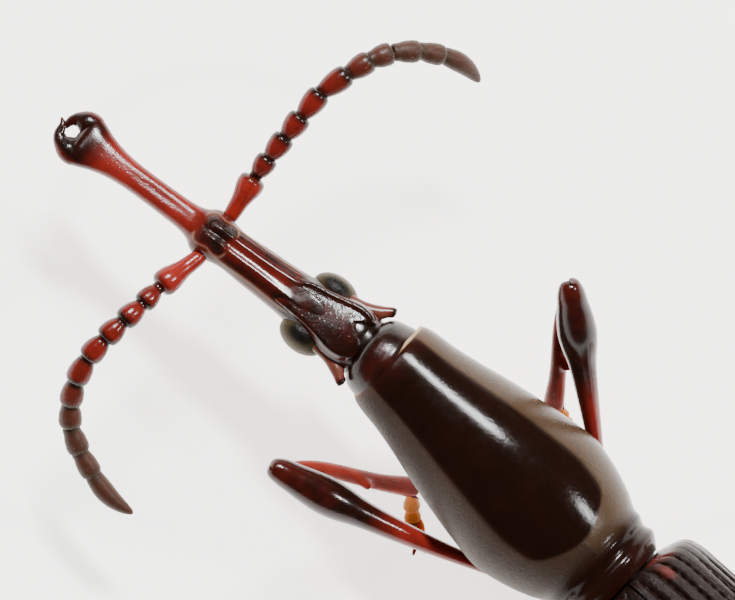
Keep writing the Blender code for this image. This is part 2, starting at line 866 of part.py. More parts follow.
def antenna(side, label):
    points = feeler_path(side, FEELERS[label])
    node(f"antenna_{label}_scape", "red", [scape(points[0], points[1])], (), points[0])
    shift = (points[2] - points[1]).normalized() * GAP
    joints = [(a + shift, b + shift) for a, b in zip(points[1:], points[2:])]
    beads = [bead(*joints[i], BEAD_WIDTHS[i], BEAD_FEET[i], i > 0) for i in range(FUNICLE_BEADS)]
    node(f"antenna_{label}_funicle", "bead", beads, (), points[1])
    first = FUNICLE_BEADS
    apart = (joints[first][1] - joints[first][0]).normalized() * CLUB_GAP
    joints = [(a + apart, b + apart) for a, b in joints]
    club = []
    for i in range(first, len(joints) - 1):
        club.append(bead(*joints[i], BEAD_WIDTHS[i], BEAD_FEET[i], i > first))
    club.append(last_joint(*joints[-1], BEAD_WIDTHS[-1], side))
    node(f"antenna_{label}_club", "bead", club, (), joints[first][0])


def bend_at(share, shape):
    """How much of a bend is reached at a share of the way."""
    rise, fall, height = shape
    inner = max(0.0, min(1.0, share))
    return inner**rise * (1 - inner) ** fall / height


def along_line(start, end, profile, stout=1.0, bent=(0, 0, 0), shape=THIGH_BEND):
    """Points of a leg piece from its profile, its middle raised a little and bent sideways."""
    start, end = Vector(start), Vector(end)
    lift = Vector((0, 0, (end - start).length * LEG_RISE))
    points = []
    for share, radius in profile:
        place = start.lerp(end, share) + lift * math.sin(math.pi * max(0.0, min(1.0, share)))
        place += Vector(bent) * bend_at(share, shape)
        points.append((*place, radius * stout))
    return points


def knee_ball(leg, grow=0.0):
    radius = KNEE_RADIUS + grow
    return ball("knee", LEGS[leg]["knee"], (radius,) * 3, 8, 6)


def inner_direction(leg):
    """From the femur towards the shin, square to the femur."""
    place = LEGS[leg]
    knee, base, ankle = (Vector(place[key]) for key in ("knee", "base", "ankle"))
    line = (knee - base).normalized()
    shin = ankle - knee
    return (shin - line * shin.dot(line)).normalized()


def shin_points(leg, grow=0.0):
    place = LEGS[leg]
    bent = BENT_SHIN.get(leg, (0, 0, 0))
    points = along_line(place["knee"], place["ankle"], TIBIA_PROFILE, 1.0, bent, SHIN_BEND)
    return [(x, y, z, radius + grow) for x, y, z, radius in points]


def shin_start(leg, grow):
    """The stretch of the shin next to the knee, a little fatter, to cut the femur with."""
    points = shin_points(leg, grow)
    return tube("shin_start", points[:3], 8)


def femur(leg):
    place = LEGS[leg]
    stout = FEMUR_STOUTNESS[leg.split("_")[0]]
    bent = BENT_THIGH.get(leg, (0, 0, 0))
    points = along_line(place["base"], place["knee"], FEMUR_PROFILE, stout, bent)
    thigh = tube("femur", points)
    coxa, base = Vector(place["coxa"]), Vector(place["base"])
    out = (base - coxa).normalized()
    trochanter = ball("trochanter", base - out * 0.05, TROCHANTER, 8, 6)
    line = Vector(place["knee"]) - base
    inner = inner_direction(leg)
    foot = Vector(points[FEMUR_TOOTH_ROW][:3]) + inner * 0.14 * stout
    tooth = spike("tooth", foot, foot + inner * 0.17 - line.normalized() * 0.03, 0.075, 6)
    cutters = [coxa_ball(leg, GAP), knee_ball(leg, GAP), shin_start(leg, GAP)]
    node(f"leg_{leg}_femur", "shell", [thigh, trochanter, tooth], cutters, base)


def tibia(leg):
    place = LEGS[leg]
    knee, ankle = Vector(place["knee"]), Vector(place["ankle"])
    shin = tube("tibia", shin_points(leg), 8)
    line = (ankle - knee).normalized()
    inner = inner_direction(leg)
    inner = -(inner - line * inner.dot(line)).normalized()
    bent = Vector(BENT_SHIN.get(leg, (0, 0, 0))) * bend_at(TIBIA_TOOTH, SHIN_BEND)
    middle = knee.lerp(ankle, TIBIA_TOOTH) + bent
    pieces = [shin, knee_ball(leg)]
    if leg.startswith("fore"):
        side = -(Vector(place["knee"]) - Vector(place["base"]))
        side = (side - line * side.dot(line)).normalized()
        pieces.append(spike("tooth", middle + side * 0.05, middle + side * 0.20, 0.08, 6))
        inner = side
    for turn in (-1, 1):
        across = line.cross(inner) * 0.06 * turn
        foot = ankle - line * 0.05 + inner * 0.05 + across
        tip = foot + line * 0.16 + inner * 0.05 + across * 0.3
        pieces.append(spike("spur", foot, tip, SPUR_RADIUS, 5))
    cutters = [ball("ankle", ankle + line * 0.01, (ANKLE_RADIUS,) * 3, 8, 6)]
    node(f"leg_{leg}_tibia", "red", pieces, cutters, knee)


def tarsus_path(leg):
    """From the ankle down to the sole's height, then level to the claws."""
    place = LEGS[leg]
    start, end = Vector(place["ankle"]), Vector(place["claws"])
    drop = start.z - end.z

    def at(share):
        point = start.lerp(end, share)
        if leg != LIFTED:
            fall = 1 - (1 - min(1.0, share / 0.60)) ** 1.5
            point.z = start.z + (SOLE_Z - start.z) * fall
        else:
            point.z = start.z - drop * share
        return point

    return at


def tarsus(leg):
    """Three short joints, the third with two lobes, then the long claw joint."""
    at = tarsus_path(leg)
    ahead = (at(1.0) - at(0.5)).normalized()
    across = Vector((0, 0, 1)).cross(ahead).normalized()
    up = ahead.cross(across)

    def joint(name, rows):
        return tube(name, [(*at(share), radius) for share, radius in rows], 6)

    pieces = [joint("first", FIRST_JOINT), joint("second", SECOND_JOINT)]
    for side in (-1, 1):
        centre = at(LOBE_AT) + across * 0.055 * side - up * 0.004
        turn = Matrix((across, ahead, up)).transposed().to_4x4()
        spread = Matrix.Rotation(math.radians(-LOBE_SPREAD * side), 4, "Z")
        pieces.append(ball("lobe", centre, LOBE, 8, 6, turn @ spread))
    lift = up * CLAW_LIFT
    stem = [(*(at(share) + lift * rise), radius) for share, rise, radius in CLAW_JOINT]
    pieces.append(tube("claw_joint", stem, 6))
    for side in (-1, 1):
        root = at(CLAW_ROOT) + lift * 0.8
        points = [
            (*(root + ahead * forth + across * side * out + up * rise), radius)
            for forth, out, rise, radius in CLAW_HOOK
        ]
        pieces.append(tube("claw", points, 4))
    cutters = [] if leg == LIFTED else [floor_cutter(LEGS[leg]["claws"])]
    node(f"leg_{leg}_tarsus", "amber", pieces, cutters, LEGS[leg]["ankle"])


def floor_cutter(place):
    """A block below the floor, which cuts the sole flat."""
    centre = Vector((place[0], place[1], -BELOW_FLOOR / 2))
    return new_object("floor", box_mesh(centre, (FLOOR_SIZE, FLOOR_SIZE, BELOW_FLOOR)))


def box_mesh(centre, size):
    mesh = bpy.data.meshes.new("box")
    bm = bmesh.new()
    bmesh.ops.create_cube(bm, size=1.0)
    bm.to_mesh(mesh)
    bm.free()
    mesh.transform(Matrix.Translation(centre) @ Matrix.Diagonal((*size, 1.0)))
    return mesh


def legs():
    for leg in LEGS:
        node(f"leg_{leg}_coxa", "red", [coxa_ball(leg)], (), LEGS[leg]["coxa"])
        femur(leg)
        tibia(leg)
        tarsus(leg)


def place_model(parts):
    """Puts the middle of the model's box over the origin, with the soles on the floor."""
    lows, highs = [], []
    for obj in NODES:
        corners = [obj.location + vert.co for vert in obj.data.vertices]
        for axis in range(3):
            lows.append((axis, min(corner[axis] for corner in corners)))
            highs.append((axis, max(corner[axis] for corner in corners)))
    low = [min(value for a, value in lows if a == axis) for axis in range(3)]
    high = [max(value for a, value in highs if a == axis) for axis in range(3)]
    root = bpy.data.objects.new("heterobrenthus_root", None)
    parts.objects.link(root)
    root.location = (-(low[0] + high[0]) / 2, -(low[1] + high[1]) / 2, 0.0)
    for obj in NODES:
        bpy.context.scene.collection.objects.unlink(obj)
        parts.objects.link(obj)
        obj.parent = root


def main():
    clear_scene()
    parts = collection("heterobrenthus")
    prothorax()
    thorax()
    abdomen()
    elytron(1)
    elytron(-1)
    head()
    snout()
    antenna(1, "left")
    antenna(-1, "right")
    legs()
    place_model(parts)
    bpy.context.view_layer.update()


main()
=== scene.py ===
"""The looks of a straight snouted weevil, a male heterobrenthus, as a museum model.

Lengths are millimetres from the hind margin of the pronotum, with the head
along -Y, the animal's left +X and up +Z, unless a name ends in _m.
"""

import math

import bpy
import numpy as np
from mathutils import Matrix, Vector


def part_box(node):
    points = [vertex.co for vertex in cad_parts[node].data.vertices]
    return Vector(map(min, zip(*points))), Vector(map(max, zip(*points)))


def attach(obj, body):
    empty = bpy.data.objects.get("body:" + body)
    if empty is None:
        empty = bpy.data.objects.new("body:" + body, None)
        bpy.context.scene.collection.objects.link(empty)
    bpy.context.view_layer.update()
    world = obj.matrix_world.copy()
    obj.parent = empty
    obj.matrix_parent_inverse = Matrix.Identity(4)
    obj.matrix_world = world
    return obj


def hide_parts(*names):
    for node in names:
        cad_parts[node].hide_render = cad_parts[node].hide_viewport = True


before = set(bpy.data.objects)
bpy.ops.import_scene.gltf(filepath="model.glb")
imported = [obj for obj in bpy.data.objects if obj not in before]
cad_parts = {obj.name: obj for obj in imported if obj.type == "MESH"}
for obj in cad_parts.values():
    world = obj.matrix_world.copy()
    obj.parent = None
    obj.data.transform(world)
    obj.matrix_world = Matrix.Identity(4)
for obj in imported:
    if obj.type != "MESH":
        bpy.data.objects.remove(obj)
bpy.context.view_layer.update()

bl_info = {
    "name": "Straight snouted weevil",
    "version": (1, 0, 0),
    "blender": (4, 5, 0),
    "location": "View3D > Sidebar > Weevil",
    "description": "Builds the pieces, finishes, light and camera of a life size weevil",
    "category": "Object",
}

MM = 0.001
BODY = "root"

# Body, as in the solids
AXIS_Z = 2.05
PRO_LENGTH = 3.61
PRO_HALF_WIDTH = 0.975
PRO_UP = 0.84
PRO_DOWN = 0.76
ELYTRA_LENGTH = 7.80
ELYTRA_HALF_WIDTH = 0.975
ELYTRA_HEIGHT = 0.98
ELYTRA_EDGE_Z = 1.90
ELYTRA_THICKNESS = 0.15
RIBS = 8
RIB_DEPTH = 0.045
PIT_DEPTH = 0.030
PIT_SPACING = 0.125
BELLY_DEPTH = 0.72
THORAX_END = 3.62
ABDOMEN_END = 7.42
CHEST_SEAMS = (0.55, 1.35)
FIRST_BELLY_SEAM = 4.95
BELLY_SEAMS = (6.05, 6.42, 6.76)
GAP = 0.025

# Head, in its own frame
HEAD_AT = (0.064, -3.83, 2.07)
HEAD_YAW = 6.8
HEAD_PITCH = 5.5
HEAD_ROLL = -4.0
EYE_Y = -0.70
EYE_X = 0.305
EYE_RADII = (0.192, 0.285, 0.240)
EYE_Z = -0.02
PLATE_THICKNESS = 0.13
NODE_Y = -2.13
NODE_RADIUS = 0.205
NODE_LOBES = 0.028
ANTENNA_ROOT = (0.275, -2.14, 0.03)
HINGE_Y = -3.98
JAW_FLATNESS = 0.80

# Antennae, from the snout out: the heading of each joint in degrees from straight out
# sideways, positive to the front, its rise in degrees and its length
FEELERS = {
    "left": {
        "headings": (9, 0, 5, 2, -2, -17, -32, -46, -66, -75, -91),
        "rises": (8, 8, 4, -8, -20, -30, -34, -30, -22, -16, -10),
        "lengths": (0.594, 0.258, 0.292, 0.276, 0.290, 0.326, 0.294, 0.278, 0.294, 0.306, 0.622),
    },
    "right": {
        "headings": (12, 8, 5, 6, 4, -12, -15, -26, -42, -54, -78),
        "rises": (16, 18, 16, 14, 10, 6, 0, -8, -14, -24, -34),
        "lengths": (0.542, 0.252, 0.300, 0.296, 0.336, 0.368, 0.292, 0.254, 0.292, 0.306, 0.602),
    },
}
BEAD_WIDTHS = (0.256, 0.267, 0.278, 0.278, 0.278, 0.272, 0.267, 0.258, 0.248, 0.232)
BEAD_FEET = (0.62, 0.62, 0.62, 0.62, 0.64, 0.70, 0.76, 0.80, 0.82, 0.84)
FUNICLE_BEADS = 7
LAST_JOINT_BEND = 0.045

# Legs
COXA_RADIUS = 0.27
KNEE_RADIUS = 0.072
LEGS = {
    "fore_left": {
        "coxa": (0.30, -0.86, 1.42),
        "base": (0.70, -0.92, 1.32),
        "knee": (1.715, -3.606, 2.15),
        "ankle": (0.700, -2.430, 0.67),
        "claws": (1.08, -1.90, 0.03),
    },
    "fore_right": {
        "coxa": (-0.30, -0.86, 1.42),
        "base": (-0.70, -0.87, 1.32),
        "knee": (-1.838, -2.680, 3.20),
        "ankle": (-1.025, -1.94, 1.39),
        "claws": (-0.93, -1.38, 0.62),
    },
    "mid_left": {
        "coxa": (0.33, 0.95, 1.36),
        "base": (0.62, 0.98, 1.30),
        "knee": (2.25, 1.35, 2.25),
        "ankle": (2.95, 1.75, 0.42),
        "claws": (3.62, 2.30, 0.03),
    },
    "mid_right": {
        "coxa": (-0.33, 0.95, 1.36),
        "base": (-0.62, 0.98, 1.30),
        "knee": (-2.28, 1.22, 2.22),
        "ankle": (-3.02, 1.52, 0.42),
        "claws": (-3.72, 2.00, 0.03),
    },
    "hind_left": {
        "coxa": (0.36, 3.30, 1.34),
        "base": (0.66, 3.38, 1.28),
        "knee": (2.05, 4.95, 2.20),
        "ankle": (2.62, 5.95, 0.42),
        "claws": (3.05, 6.75, 0.03),
    },
    "hind_right": {
        "coxa": (-0.36, 3.30, 1.34),
        "base": (-0.66, 3.38, 1.28),
        "knee": (-2.15, 4.80, 2.24),
        "ankle": (-2.74, 5.72, 0.42),
        "claws": (-3.20, 6.50, 0.03),
    },
}
LIFTED = "fore_right"
# How far the middle of a thigh and of a shin is bent sideways, besides the rise of both
BENT_THIGH = {"fore_left": (0.066, 0.024, 0.0)}
BENT_SHIN = {"fore_left": (-0.070, -0.050, 0.0), "fore_right": (0.042, -0.044, 0.0)}
# Powers of the way from both ends that shape each bend, and the bend's height with them
THIGH_BEND = (1, 1, 0.25)
SHIN_BEND = (1, 3, 0.1055)
LEG_RISE = 0.02
FEMUR_STOUTNESS = {"fore": 1.0, "mid": 0.92, "hind": 0.95}
SOLE_Z = 0.046
CLAW_LIFT = 0.045
FOOT_HALF_DEPTH = 0.045
SPUR_RADIUS = 0.032
SPUR_LENGTH = 0.16
LOBED_JOINT = 0.62
LOBE_RADII = (0.060, 0.130, 0.052)
# Share of the way along a thigh and a fore shin where their teeth stand
FEMUR_TOOTH = 0.727
TIBIA_TOOTH = 0.60
TOOTH_HEIGHT = 0.12

# Fine hairs: how many on a shin, under a foot joint, on an inner and on an outer bead
SHIN_HAIRS = 24
SOLE_HAIRS = 90
SPARSE_HAIRS = 16
DENSE_HAIRS = 110
SHIN_HAIR_RADIUS = 0.0032
FEELER_HAIR_RADIUS = 0.0028

SIDES = ((1, "left"), (-1, "right"))

# Camera, floor and light
PX = 1 / 90
CAMERA_TILT = 6.0
CAMERA_AWAY = 120.0
SENSOR = 36.0
FRAME_WIDTH = 735
# Photograph pixels: a point on the body's axis, and the middle of the frame
AXIS_PIXEL = (508.6, 476.9)
MARGIN_PIXELS = 157.0
FRAME_MIDDLE = (367.5, 300.0)
REARWARD = (0.7222, 0.6917)

FLOOR_HALF = 600.0
# How high a way points, from level to straight up, and how bright the surround is there
SURROUND_STOPS = ((0.0, 1.0), (0.16, 1.0), (0.20, 0.06), (0.45, 0.022), (1.0, 0.012))
SURROUND_STRENGTH = 3.2
# The way to each strip, to the left, rearward and up, its size and its power in milliwatts
STRIPS = (
    ("key_strip", (-0.46, -0.36, 0.81), (9, 28), 230.0),
    ("front_bar", (-0.20, -0.56, 0.80), (46, 4), 14.0),
    ("rear_strip", (-0.51, 0.47, 0.72), (9, 12), 70.0),
)
STRIPS_AIM = (0.0, -3.0, AXIS_Z)
STRIPS_AWAY = 110.0

# Share of the way from the hind margin forward, then half width, height above and depth
# below the axis as shares of the greatest
PRO_OUTLINE = (
    (0.000, 0.570, 0.62, 0.62),
    (0.022, 0.640, 0.69, 0.67),
    (0.050, 0.700, 0.74, 0.70),
    (0.080, 0.672, 0.70, 0.70),
    (0.110, 0.722, 0.76, 0.76),
    (0.135, 0.730, 0.76, 0.80),
    (0.180, 0.812, 0.84, 0.88),
    (0.240, 0.896, 0.91, 0.97),
    (0.310, 0.965, 0.97, 1.00),
    (0.375, 1.000, 1.00, 1.00),
    (0.480, 0.953, 1.00, 0.97),
    (0.580, 0.888, 0.97, 0.92),
    (0.680, 0.812, 0.90, 0.86),
    (0.790, 0.714, 0.79, 0.78),
    (0.880, 0.645, 0.70, 0.70),
    (0.950, 0.612, 0.645, 0.64),
    (0.982, 0.585, 0.61, 0.60),
    (1.000, 0.550, 0.57, 0.57),
)
# Share of the way along a wing case, then half width and height as shares of the greatest
ELYTRA_OUTLINE = (
    (0.000, 0.580, 0.70),
    (0.014, 0.870, 0.80),
    (0.035, 0.962, 0.87),
    (0.070, 0.985, 0.94),
    (0.130, 1.000, 0.985),
    (0.260, 0.993, 1.00),
    (0.450, 0.972, 1.00),
    (0.620, 0.935, 0.96),
    (0.760, 0.850, 0.87),
    (0.860, 0.720, 0.74),
    (0.925, 0.570, 0.59),
    (0.965, 0.420, 0.44),
    (0.990, 0.250, 0.28),
    (1.000, 0.120, 0.16),
)
# Along Y: half width, height above and depth below the axis of the head and snout
CAPSULE_OUTLINE = (
    (0.04, 0.300, 0.28, 0.28),
    (-0.06, 0.350, 0.325, 0.33),
    (-0.14, 0.385, 0.355, 0.36),
    (-0.26, 0.395, 0.355, 0.365),
    (-0.42, 0.380, 0.34, 0.35),
    (-0.55, 0.350, 0.325, 0.335),
    (-0.72, 0.330, 0.305, 0.31),
    (-0.90, 0.310, 0.285, 0.28),
    (-1.02, 0.286, 0.265, 0.26),
    (-1.20, 0.268, 0.245, 0.235),
    (-1.60, 0.252, 0.222, 0.215),
    (-1.90, 0.238, 0.212, 0.210),
    (-2.02, 0.258, 0.226, 0.220),
    (-2.12, 0.288, 0.240, 0.235),
    (-2.22, 0.294, 0.236, 0.235),
    (-2.30, 0.270, 0.210, 0.215),
    (-2.38, 0.212, 0.178, 0.184),
    (-2.50, 0.174, 0.148, 0.162),
    (-2.75, 0.160, 0.132, 0.150),
    (-3.25, 0.158, 0.126, 0.148),
    (-3.50, 0.180, 0.126, 0.152),
    (-3.70, 0.228, 0.128, 0.165),
    (-3.85, 0.286, 0.132, 0.175),
    (-3.93, 0.316, 0.126, 0.168),
    (-3.99, 0.332, 0.108, 0.150),
    (-4.025, 0.330, 0.080, 0.125),
    (-4.042, 0.316, 0.050, 0.095),
)
# Along Y: half width of the smooth plate on top of the head, and the depth of its hollow
PLATE_OUTLINE = (
    (-1.62, 0.060, 0.000),
    (-1.40, 0.150, 0.004),
    (-1.20, 0.212, 0.012),
    (-0.98, 0.232, 0.026),
    (-0.85, 0.246, 0.034),
    (-0.72, 0.264, 0.030),
    (-0.55, 0.300, 0.014),
    (-0.42, 0.334, 0.002),
    (-0.32, 0.346, 0.000),
    (-0.22, 0.336, 0.000),
    (-0.15, 0.306, 0.000),
    (-0.09, 0.262, 0.000),
    (-0.06, 0.225, 0.000),
)
# Along Y in the head's frame: half width of the neck
NECK_OUTLINE = (
    (-0.12, 0.260),
    (-0.03, 0.400),
    (0.04, 0.452),
    (0.12, 0.478),
    (0.20, 0.492),
    (0.28, 0.500),
    (0.40, 0.455),
    (0.50, 0.330),
)
NECK_ROUND = 0.93
# Share of the way along a joint, then the radius there
SCAPE_PROFILE = (
    (-0.12, 0.004),
    (-0.10, 0.060),
    (0.02, 0.088),
    (0.14, 0.096),
    (0.38, 0.106),
    (0.54, 0.126),
    (0.70, 0.150),
    (0.85, 0.155),
    (0.94, 0.137),
    (0.985, 0.098),
    (0.992, 0.060),
    (0.98, 0.004),
)
FEMUR_PROFILE = (
    (0.00, 0.080),
    (0.15, 0.077),
    (0.365, 0.106),
    (0.50, 0.128),
    (0.585, 0.144),
    (0.66, 0.166),
    (0.735, 0.203),
    (0.80, 0.220),
    (0.87, 0.206),
    (0.94, 0.177),
    (1.00, 0.154),
    (1.038, 0.116),
    (1.052, 0.070),
    (1.056, 0.004),
)
TIBIA_PROFILE = (
    (-0.02, 0.004),
    (0.00, 0.062),
    (0.08, 0.074),
    (0.25, 0.079),
    (0.50, 0.090),
    (0.75, 0.096),
    (0.93, 0.113),
    (0.99, 0.115),
    (1.015, 0.090),
    (1.020, 0.004),
)
# Share of the way from the ankle to the claws and radius, for the first two foot joints
FOOT_PROFILES = (
    (
        (0.00, 0.004),
        (0.02, 0.038),
        (0.12, 0.052),
        (0.24, 0.078),
        (0.305, 0.090),
        (0.335, 0.066),
        (0.34, 0.004),
    ),
    (
        (0.295, 0.004),
        (0.30, 0.036),
        (0.36, 0.050),
        (0.43, 0.078),
        (0.49, 0.090),
        (0.515, 0.066),
        (0.52, 0.004),
    ),
)
# The same for the claw joint, with its rise between them
CLAW_JOINT = (
    (0.575, 0.2, 0.006),
    (0.585, 0.25, 0.028),
    (0.70, 1.0, 0.033),
    (0.84, 1.3, 0.042),
    (0.94, 0.9, 0.052),
    (0.965, 0.75, 0.040),
    (0.972, 0.7, 0.004),
)
# Out from the middle, along Y from the hinge, height and radius, along a jaw. The tip of
# the left one crosses over the tip of the right one.
JAW_ROOT = (
    (0.190, 0.080, 0.000, 0.060),
    (0.196, 0.045, 0.000, 0.110),
    (0.205, 0.000, 0.000, 0.128),
)
JAW_CONTROLS = {
    "left": (
        *JAW_ROOT,
        (0.187, -0.070, 0.000, 0.137),
        (0.172, -0.135, 0.004, 0.116),
        (0.148, -0.200, 0.012, 0.086),
        (0.105, -0.245, 0.024, 0.066),
        (0.055, -0.262, 0.038, 0.052),
        (0.010, -0.274, 0.050, 0.042),
        (-0.025, -0.300, 0.055, 0.028),
        (-0.050, -0.330, 0.055, 0.014),
        (-0.056, -0.338, 0.055, 0.003),
    ),
    "right": (
        *JAW_ROOT,
        (0.187, -0.070, 0.000, 0.135),
        (0.174, -0.125, -0.004, 0.116),
        (0.150, -0.182, -0.012, 0.082),
        (0.108, -0.222, -0.024, 0.062),
        (0.062, -0.240, -0.038, 0.048),
        (0.022, -0.246, -0.050, 0.036),
        (-0.005, -0.250, -0.055, 0.022),
        (-0.014, -0.252, -0.055, 0.003),
    ),
}
# Out from the middle, along Y, height and radius, along the rod on a hind corner
PROCESS_CONTROLS = (
    (0.290, -0.540, 0.07, 0.050),
    (0.300, -0.500, 0.09, 0.088),
    (0.308, -0.420, 0.09, 0.090),
    (0.322, -0.340, 0.10, 0.088),
    (0.358, -0.240, 0.11, 0.084),
    (0.405, -0.150, 0.12, 0.079),
    (0.455, -0.085, 0.13, 0.063),
    (0.483, -0.040, 0.13, 0.062),
    (0.489, -0.008, 0.13, 0.050),
    (0.491, 0.006, 0.13, 0.003),
)


def shift_m():
    """How far the solids' own origin lies from the frame's."""
    _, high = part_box("prothorax")
    inner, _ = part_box("elytron_left")
    return np.array((inner[0] - GAP / 2 * MM, high[1], 0.0))


SHIFT_M = shift_m()


def smooth_step(a, b, x):
    """A smooth rise from nought at a to one at b."""
    t = np.clip((x - a) / (b - a), 0, 1)
    return t * t * (3 - 2 * t)


def bump(x, centre, width):
    """A smooth hump of height one."""
    return np.exp(-(((x - centre) / width) ** 2))


def eased(start, end, leave, arrive, f):
    """The way from start to end, with the slopes that it leaves and arrives by."""
    square, cube = f * f, f * f * f
    between = start * (2 * cube - 3 * square + 1) + end * (3 * square - 2 * cube)
    return between + leave * (cube - 2 * square + f) + arrive * (cube - square)


def outline(table, x):
    """The columns of a table at x, joined smoothly, for an array of x."""
    rows = np.array(sorted(table), float)
    at, values = rows[:, 0], rows[:, 1:]
    x = np.clip(np.asarray(x, float), at[0], at[-1])
    k = np.clip(np.searchsorted(at, x, side="right") - 1, 0, len(at) - 2)
    width = (at[k + 1] - at[k])[..., None]
    f = (x - at[k])[..., None] / width
    slopes = np.empty_like(values)
    slopes[1:-1] = (values[2:] - values[:-2]) / (at[2:] - at[:-2])[:, None]
    slopes[0] = (values[1] - values[0]) / (at[1] - at[0])
    slopes[-1] = (values[-1] - values[-2]) / (at[-1] - at[-2])
    mixed = eased(values[k], values[k + 1], slopes[k] * width, slopes[k + 1] * width, f)
    return [mixed[..., c] for c in range(mixed.shape[-1])]


def signed_power(value, power):
    """A power of the size, with the sign kept."""
    return np.sign(value) * np.abs(value) ** power


def unit(vector):
    """The vector at a length of one."""
    vector = np.asarray(vector, float)
    return vector / np.linalg.norm(vector)


def units(vectors):
    """The same for rows of vectors."""
    return vectors / np.linalg.norm(vectors, axis=1, keepdims=True)


def crowded(table, count):
    """Places along a table, as many between each two of its rows, then evened out a little."""
    rows = np.array(sorted(row[0] for row in table), float)
    even = np.linspace(rows[0], rows[-1], count)
    by_row = np.interp(np.linspace(0, len(rows) - 1, count), np.arange(len(rows)), rows)
    return (even + by_row) / 2


def head_frame():
    """From the head's own frame to the body's."""
    turn = (
        Matrix.Rotation(math.radians(HEAD_YAW), 4, "Z")
        @ Matrix.Rotation(math.radians(HEAD_PITCH), 4, "X")
        @ Matrix.Rotation(math.radians(HEAD_ROLL), 4, "Y")
    )
    return Matrix.Translation(HEAD_AT) @ turn


def moved(points, matrix):
    m = np.array(matrix)
    return points @ m[:3, :3].T + m[:3, 3]


class Grid:
    """A skin of rows and columns of points, closed round, with marks that its finish reads."""

    def __init__(self, points, tone=0.0, pale=0.0, rough=0.0):
        self.points = points
        shape = points.shape[:2]
        marks = {"tone": tone, "pale": pale, "rough": rough}
        self.marks = {key: np.broadcast_to(np.asarray(value, float), shape) for key, value in marks.items()}

    def moved(self, matrix):
        self.points = moved(self.points, matrix)
        return self

    def build(self):
        """Points, quads, triangles and marks, with a fan of triangles over each open end."""
        rows, cols = self.points.shape[:2]
        index = np.arange(rows * cols).reshape(rows, cols)
        right = np.roll(index, -1, axis=1)
        quads = np.stack([index[:-1], right[:-1], right[1:], index[1:]], axis=-1).reshape(-1, 4)
        centres = (np.full(cols, rows * cols), np.full(cols, rows * cols + 1))
        fans = ((right[0], index[0], centres[0]), (index[-1], right[-1], centres[1]))
        triangles = np.concatenate([np.stack(fan, axis=-1) for fan in fans])
        points = np.vstack([self.points.reshape(-1, 3), self.points[[0, -1]].mean(axis=1)])
        marks = {key: np.append(v, v[[0, -1]].mean(axis=1)) for key, v in self.marks.items()}
        return points, quads, triangles, marks


def volume_of(points, quads, triangles):
    """Six times the volume inside, below nought where the faces look inwards."""
    faces = np.concatenate([quads[:, [0, 1, 2]], quads[:, [0, 2, 3]], triangles])
    return np.linalg.det(points[faces] - points[0]).sum()


def mesh_of(name, points, *groups):
    """A mesh of points in millimetres and faces, one group for each number of corners."""
    mesh = bpy.data.meshes.new(name)
    mesh.vertices.add(len(points))
    mesh.vertices.foreach_set("co", (points * MM + SHIFT_M).ravel())
    loops = np.concatenate([group.ravel() for group in groups])
    mesh.loops.add(len(loops))
    mesh.loops.foreach_set("vertex_index", loops)
    corners = np.concatenate([np.full(len(group), group.shape[1]) for group in groups])
    mesh.polygons.add(len(corners))
    mesh.polygons.foreach_set("loop_start", np.concatenate([[0], np.cumsum(corners)[:-1]]))
    mesh.update(calc_edges=True)
    mesh.shade_smooth()
    return mesh


def skin_mesh(name, grids):
    """One mesh of all the grids, each turned to face out, with their marks as attributes."""
    built, offset = [], 0
    for grid in grids:
        points, quads, triangles, marks = grid.build()
        if volume_of(points, quads, triangles) < 0:
            quads, triangles = quads[:, ::-1], triangles[:, ::-1]
        built.append((points, quads + offset, triangles + offset, marks))
        offset += len(points)
    points, quads, triangles = (np.concatenate([row[i] for row in built]) for i in range(3))
    mesh = mesh_of(name, points, quads, triangles)
    for key in ("tone", "pale", "rough"):
        layer = mesh.attributes.new(key, "FLOAT", "POINT")
        layer.data.foreach_set("value", np.concatenate([marks[key] for *_, marks in built]))
    mesh.validate()
    return mesh


def add_object(name, data):
    obj = bpy.data.objects.new(name, data)
    bpy.context.scene.collection.objects.link(obj)
    return obj


def place_piece(name, mesh, material, slot, *nodes):
    """The finished piece, riding on the body in the place of its solids."""
    obj = add_object(name, mesh)
    mesh.materials.append(material)
    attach(obj, BODY)
    if nodes:
        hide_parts(*nodes)


def place_skin(name, grids, material, slot, *nodes):
    place_piece(name, skin_mesh(name, grids), material, slot, *nodes)


def section(count, square):
    """Across and up for the points of a rounded section. Square is one number or a column."""
    angle = math.tau * (np.arange(count) + 0.5) / count
    return signed_power(np.cos(angle), 2 / square), signed_power(np.sin(angle), 2 / square)


def ellipsoid(centre, radii, rows, cols, turn=None):
    """Rows run from pole to pole along Y."""
    polar = math.pi * (np.arange(rows) + 0.5) / rows
    round_ = math.tau * np.arange(cols) / cols
    ball = np.stack(
        [
            np.sin(polar)[:, None] * np.cos(round_),
            np.cos(polar)[:, None] * np.ones(cols),
            np.sin(polar)[:, None] * np.sin(round_),
        ],
        axis=-1,
    )
    points = ball * np.array(radii)
    if turn is not None:
        points = moved(points, turn)
    return points + np.array(centre)


def curve_through(controls, count):
    """Points on a smooth curve through the controls, for any number of values each."""
    rows = np.array(controls, float)
    last = len(rows) - 1
    t = np.linspace(0, last, count)
    k = np.minimum(t.astype(int), last - 1)
    f = (t - k)[:, None]
    a, b = rows[np.maximum(k - 1, 0)], rows[k]
    c, d = rows[k + 1], rows[np.minimum(k + 2, last)]
    return eased(b, c, (c - a) / 2, (d - b) / 2, f)


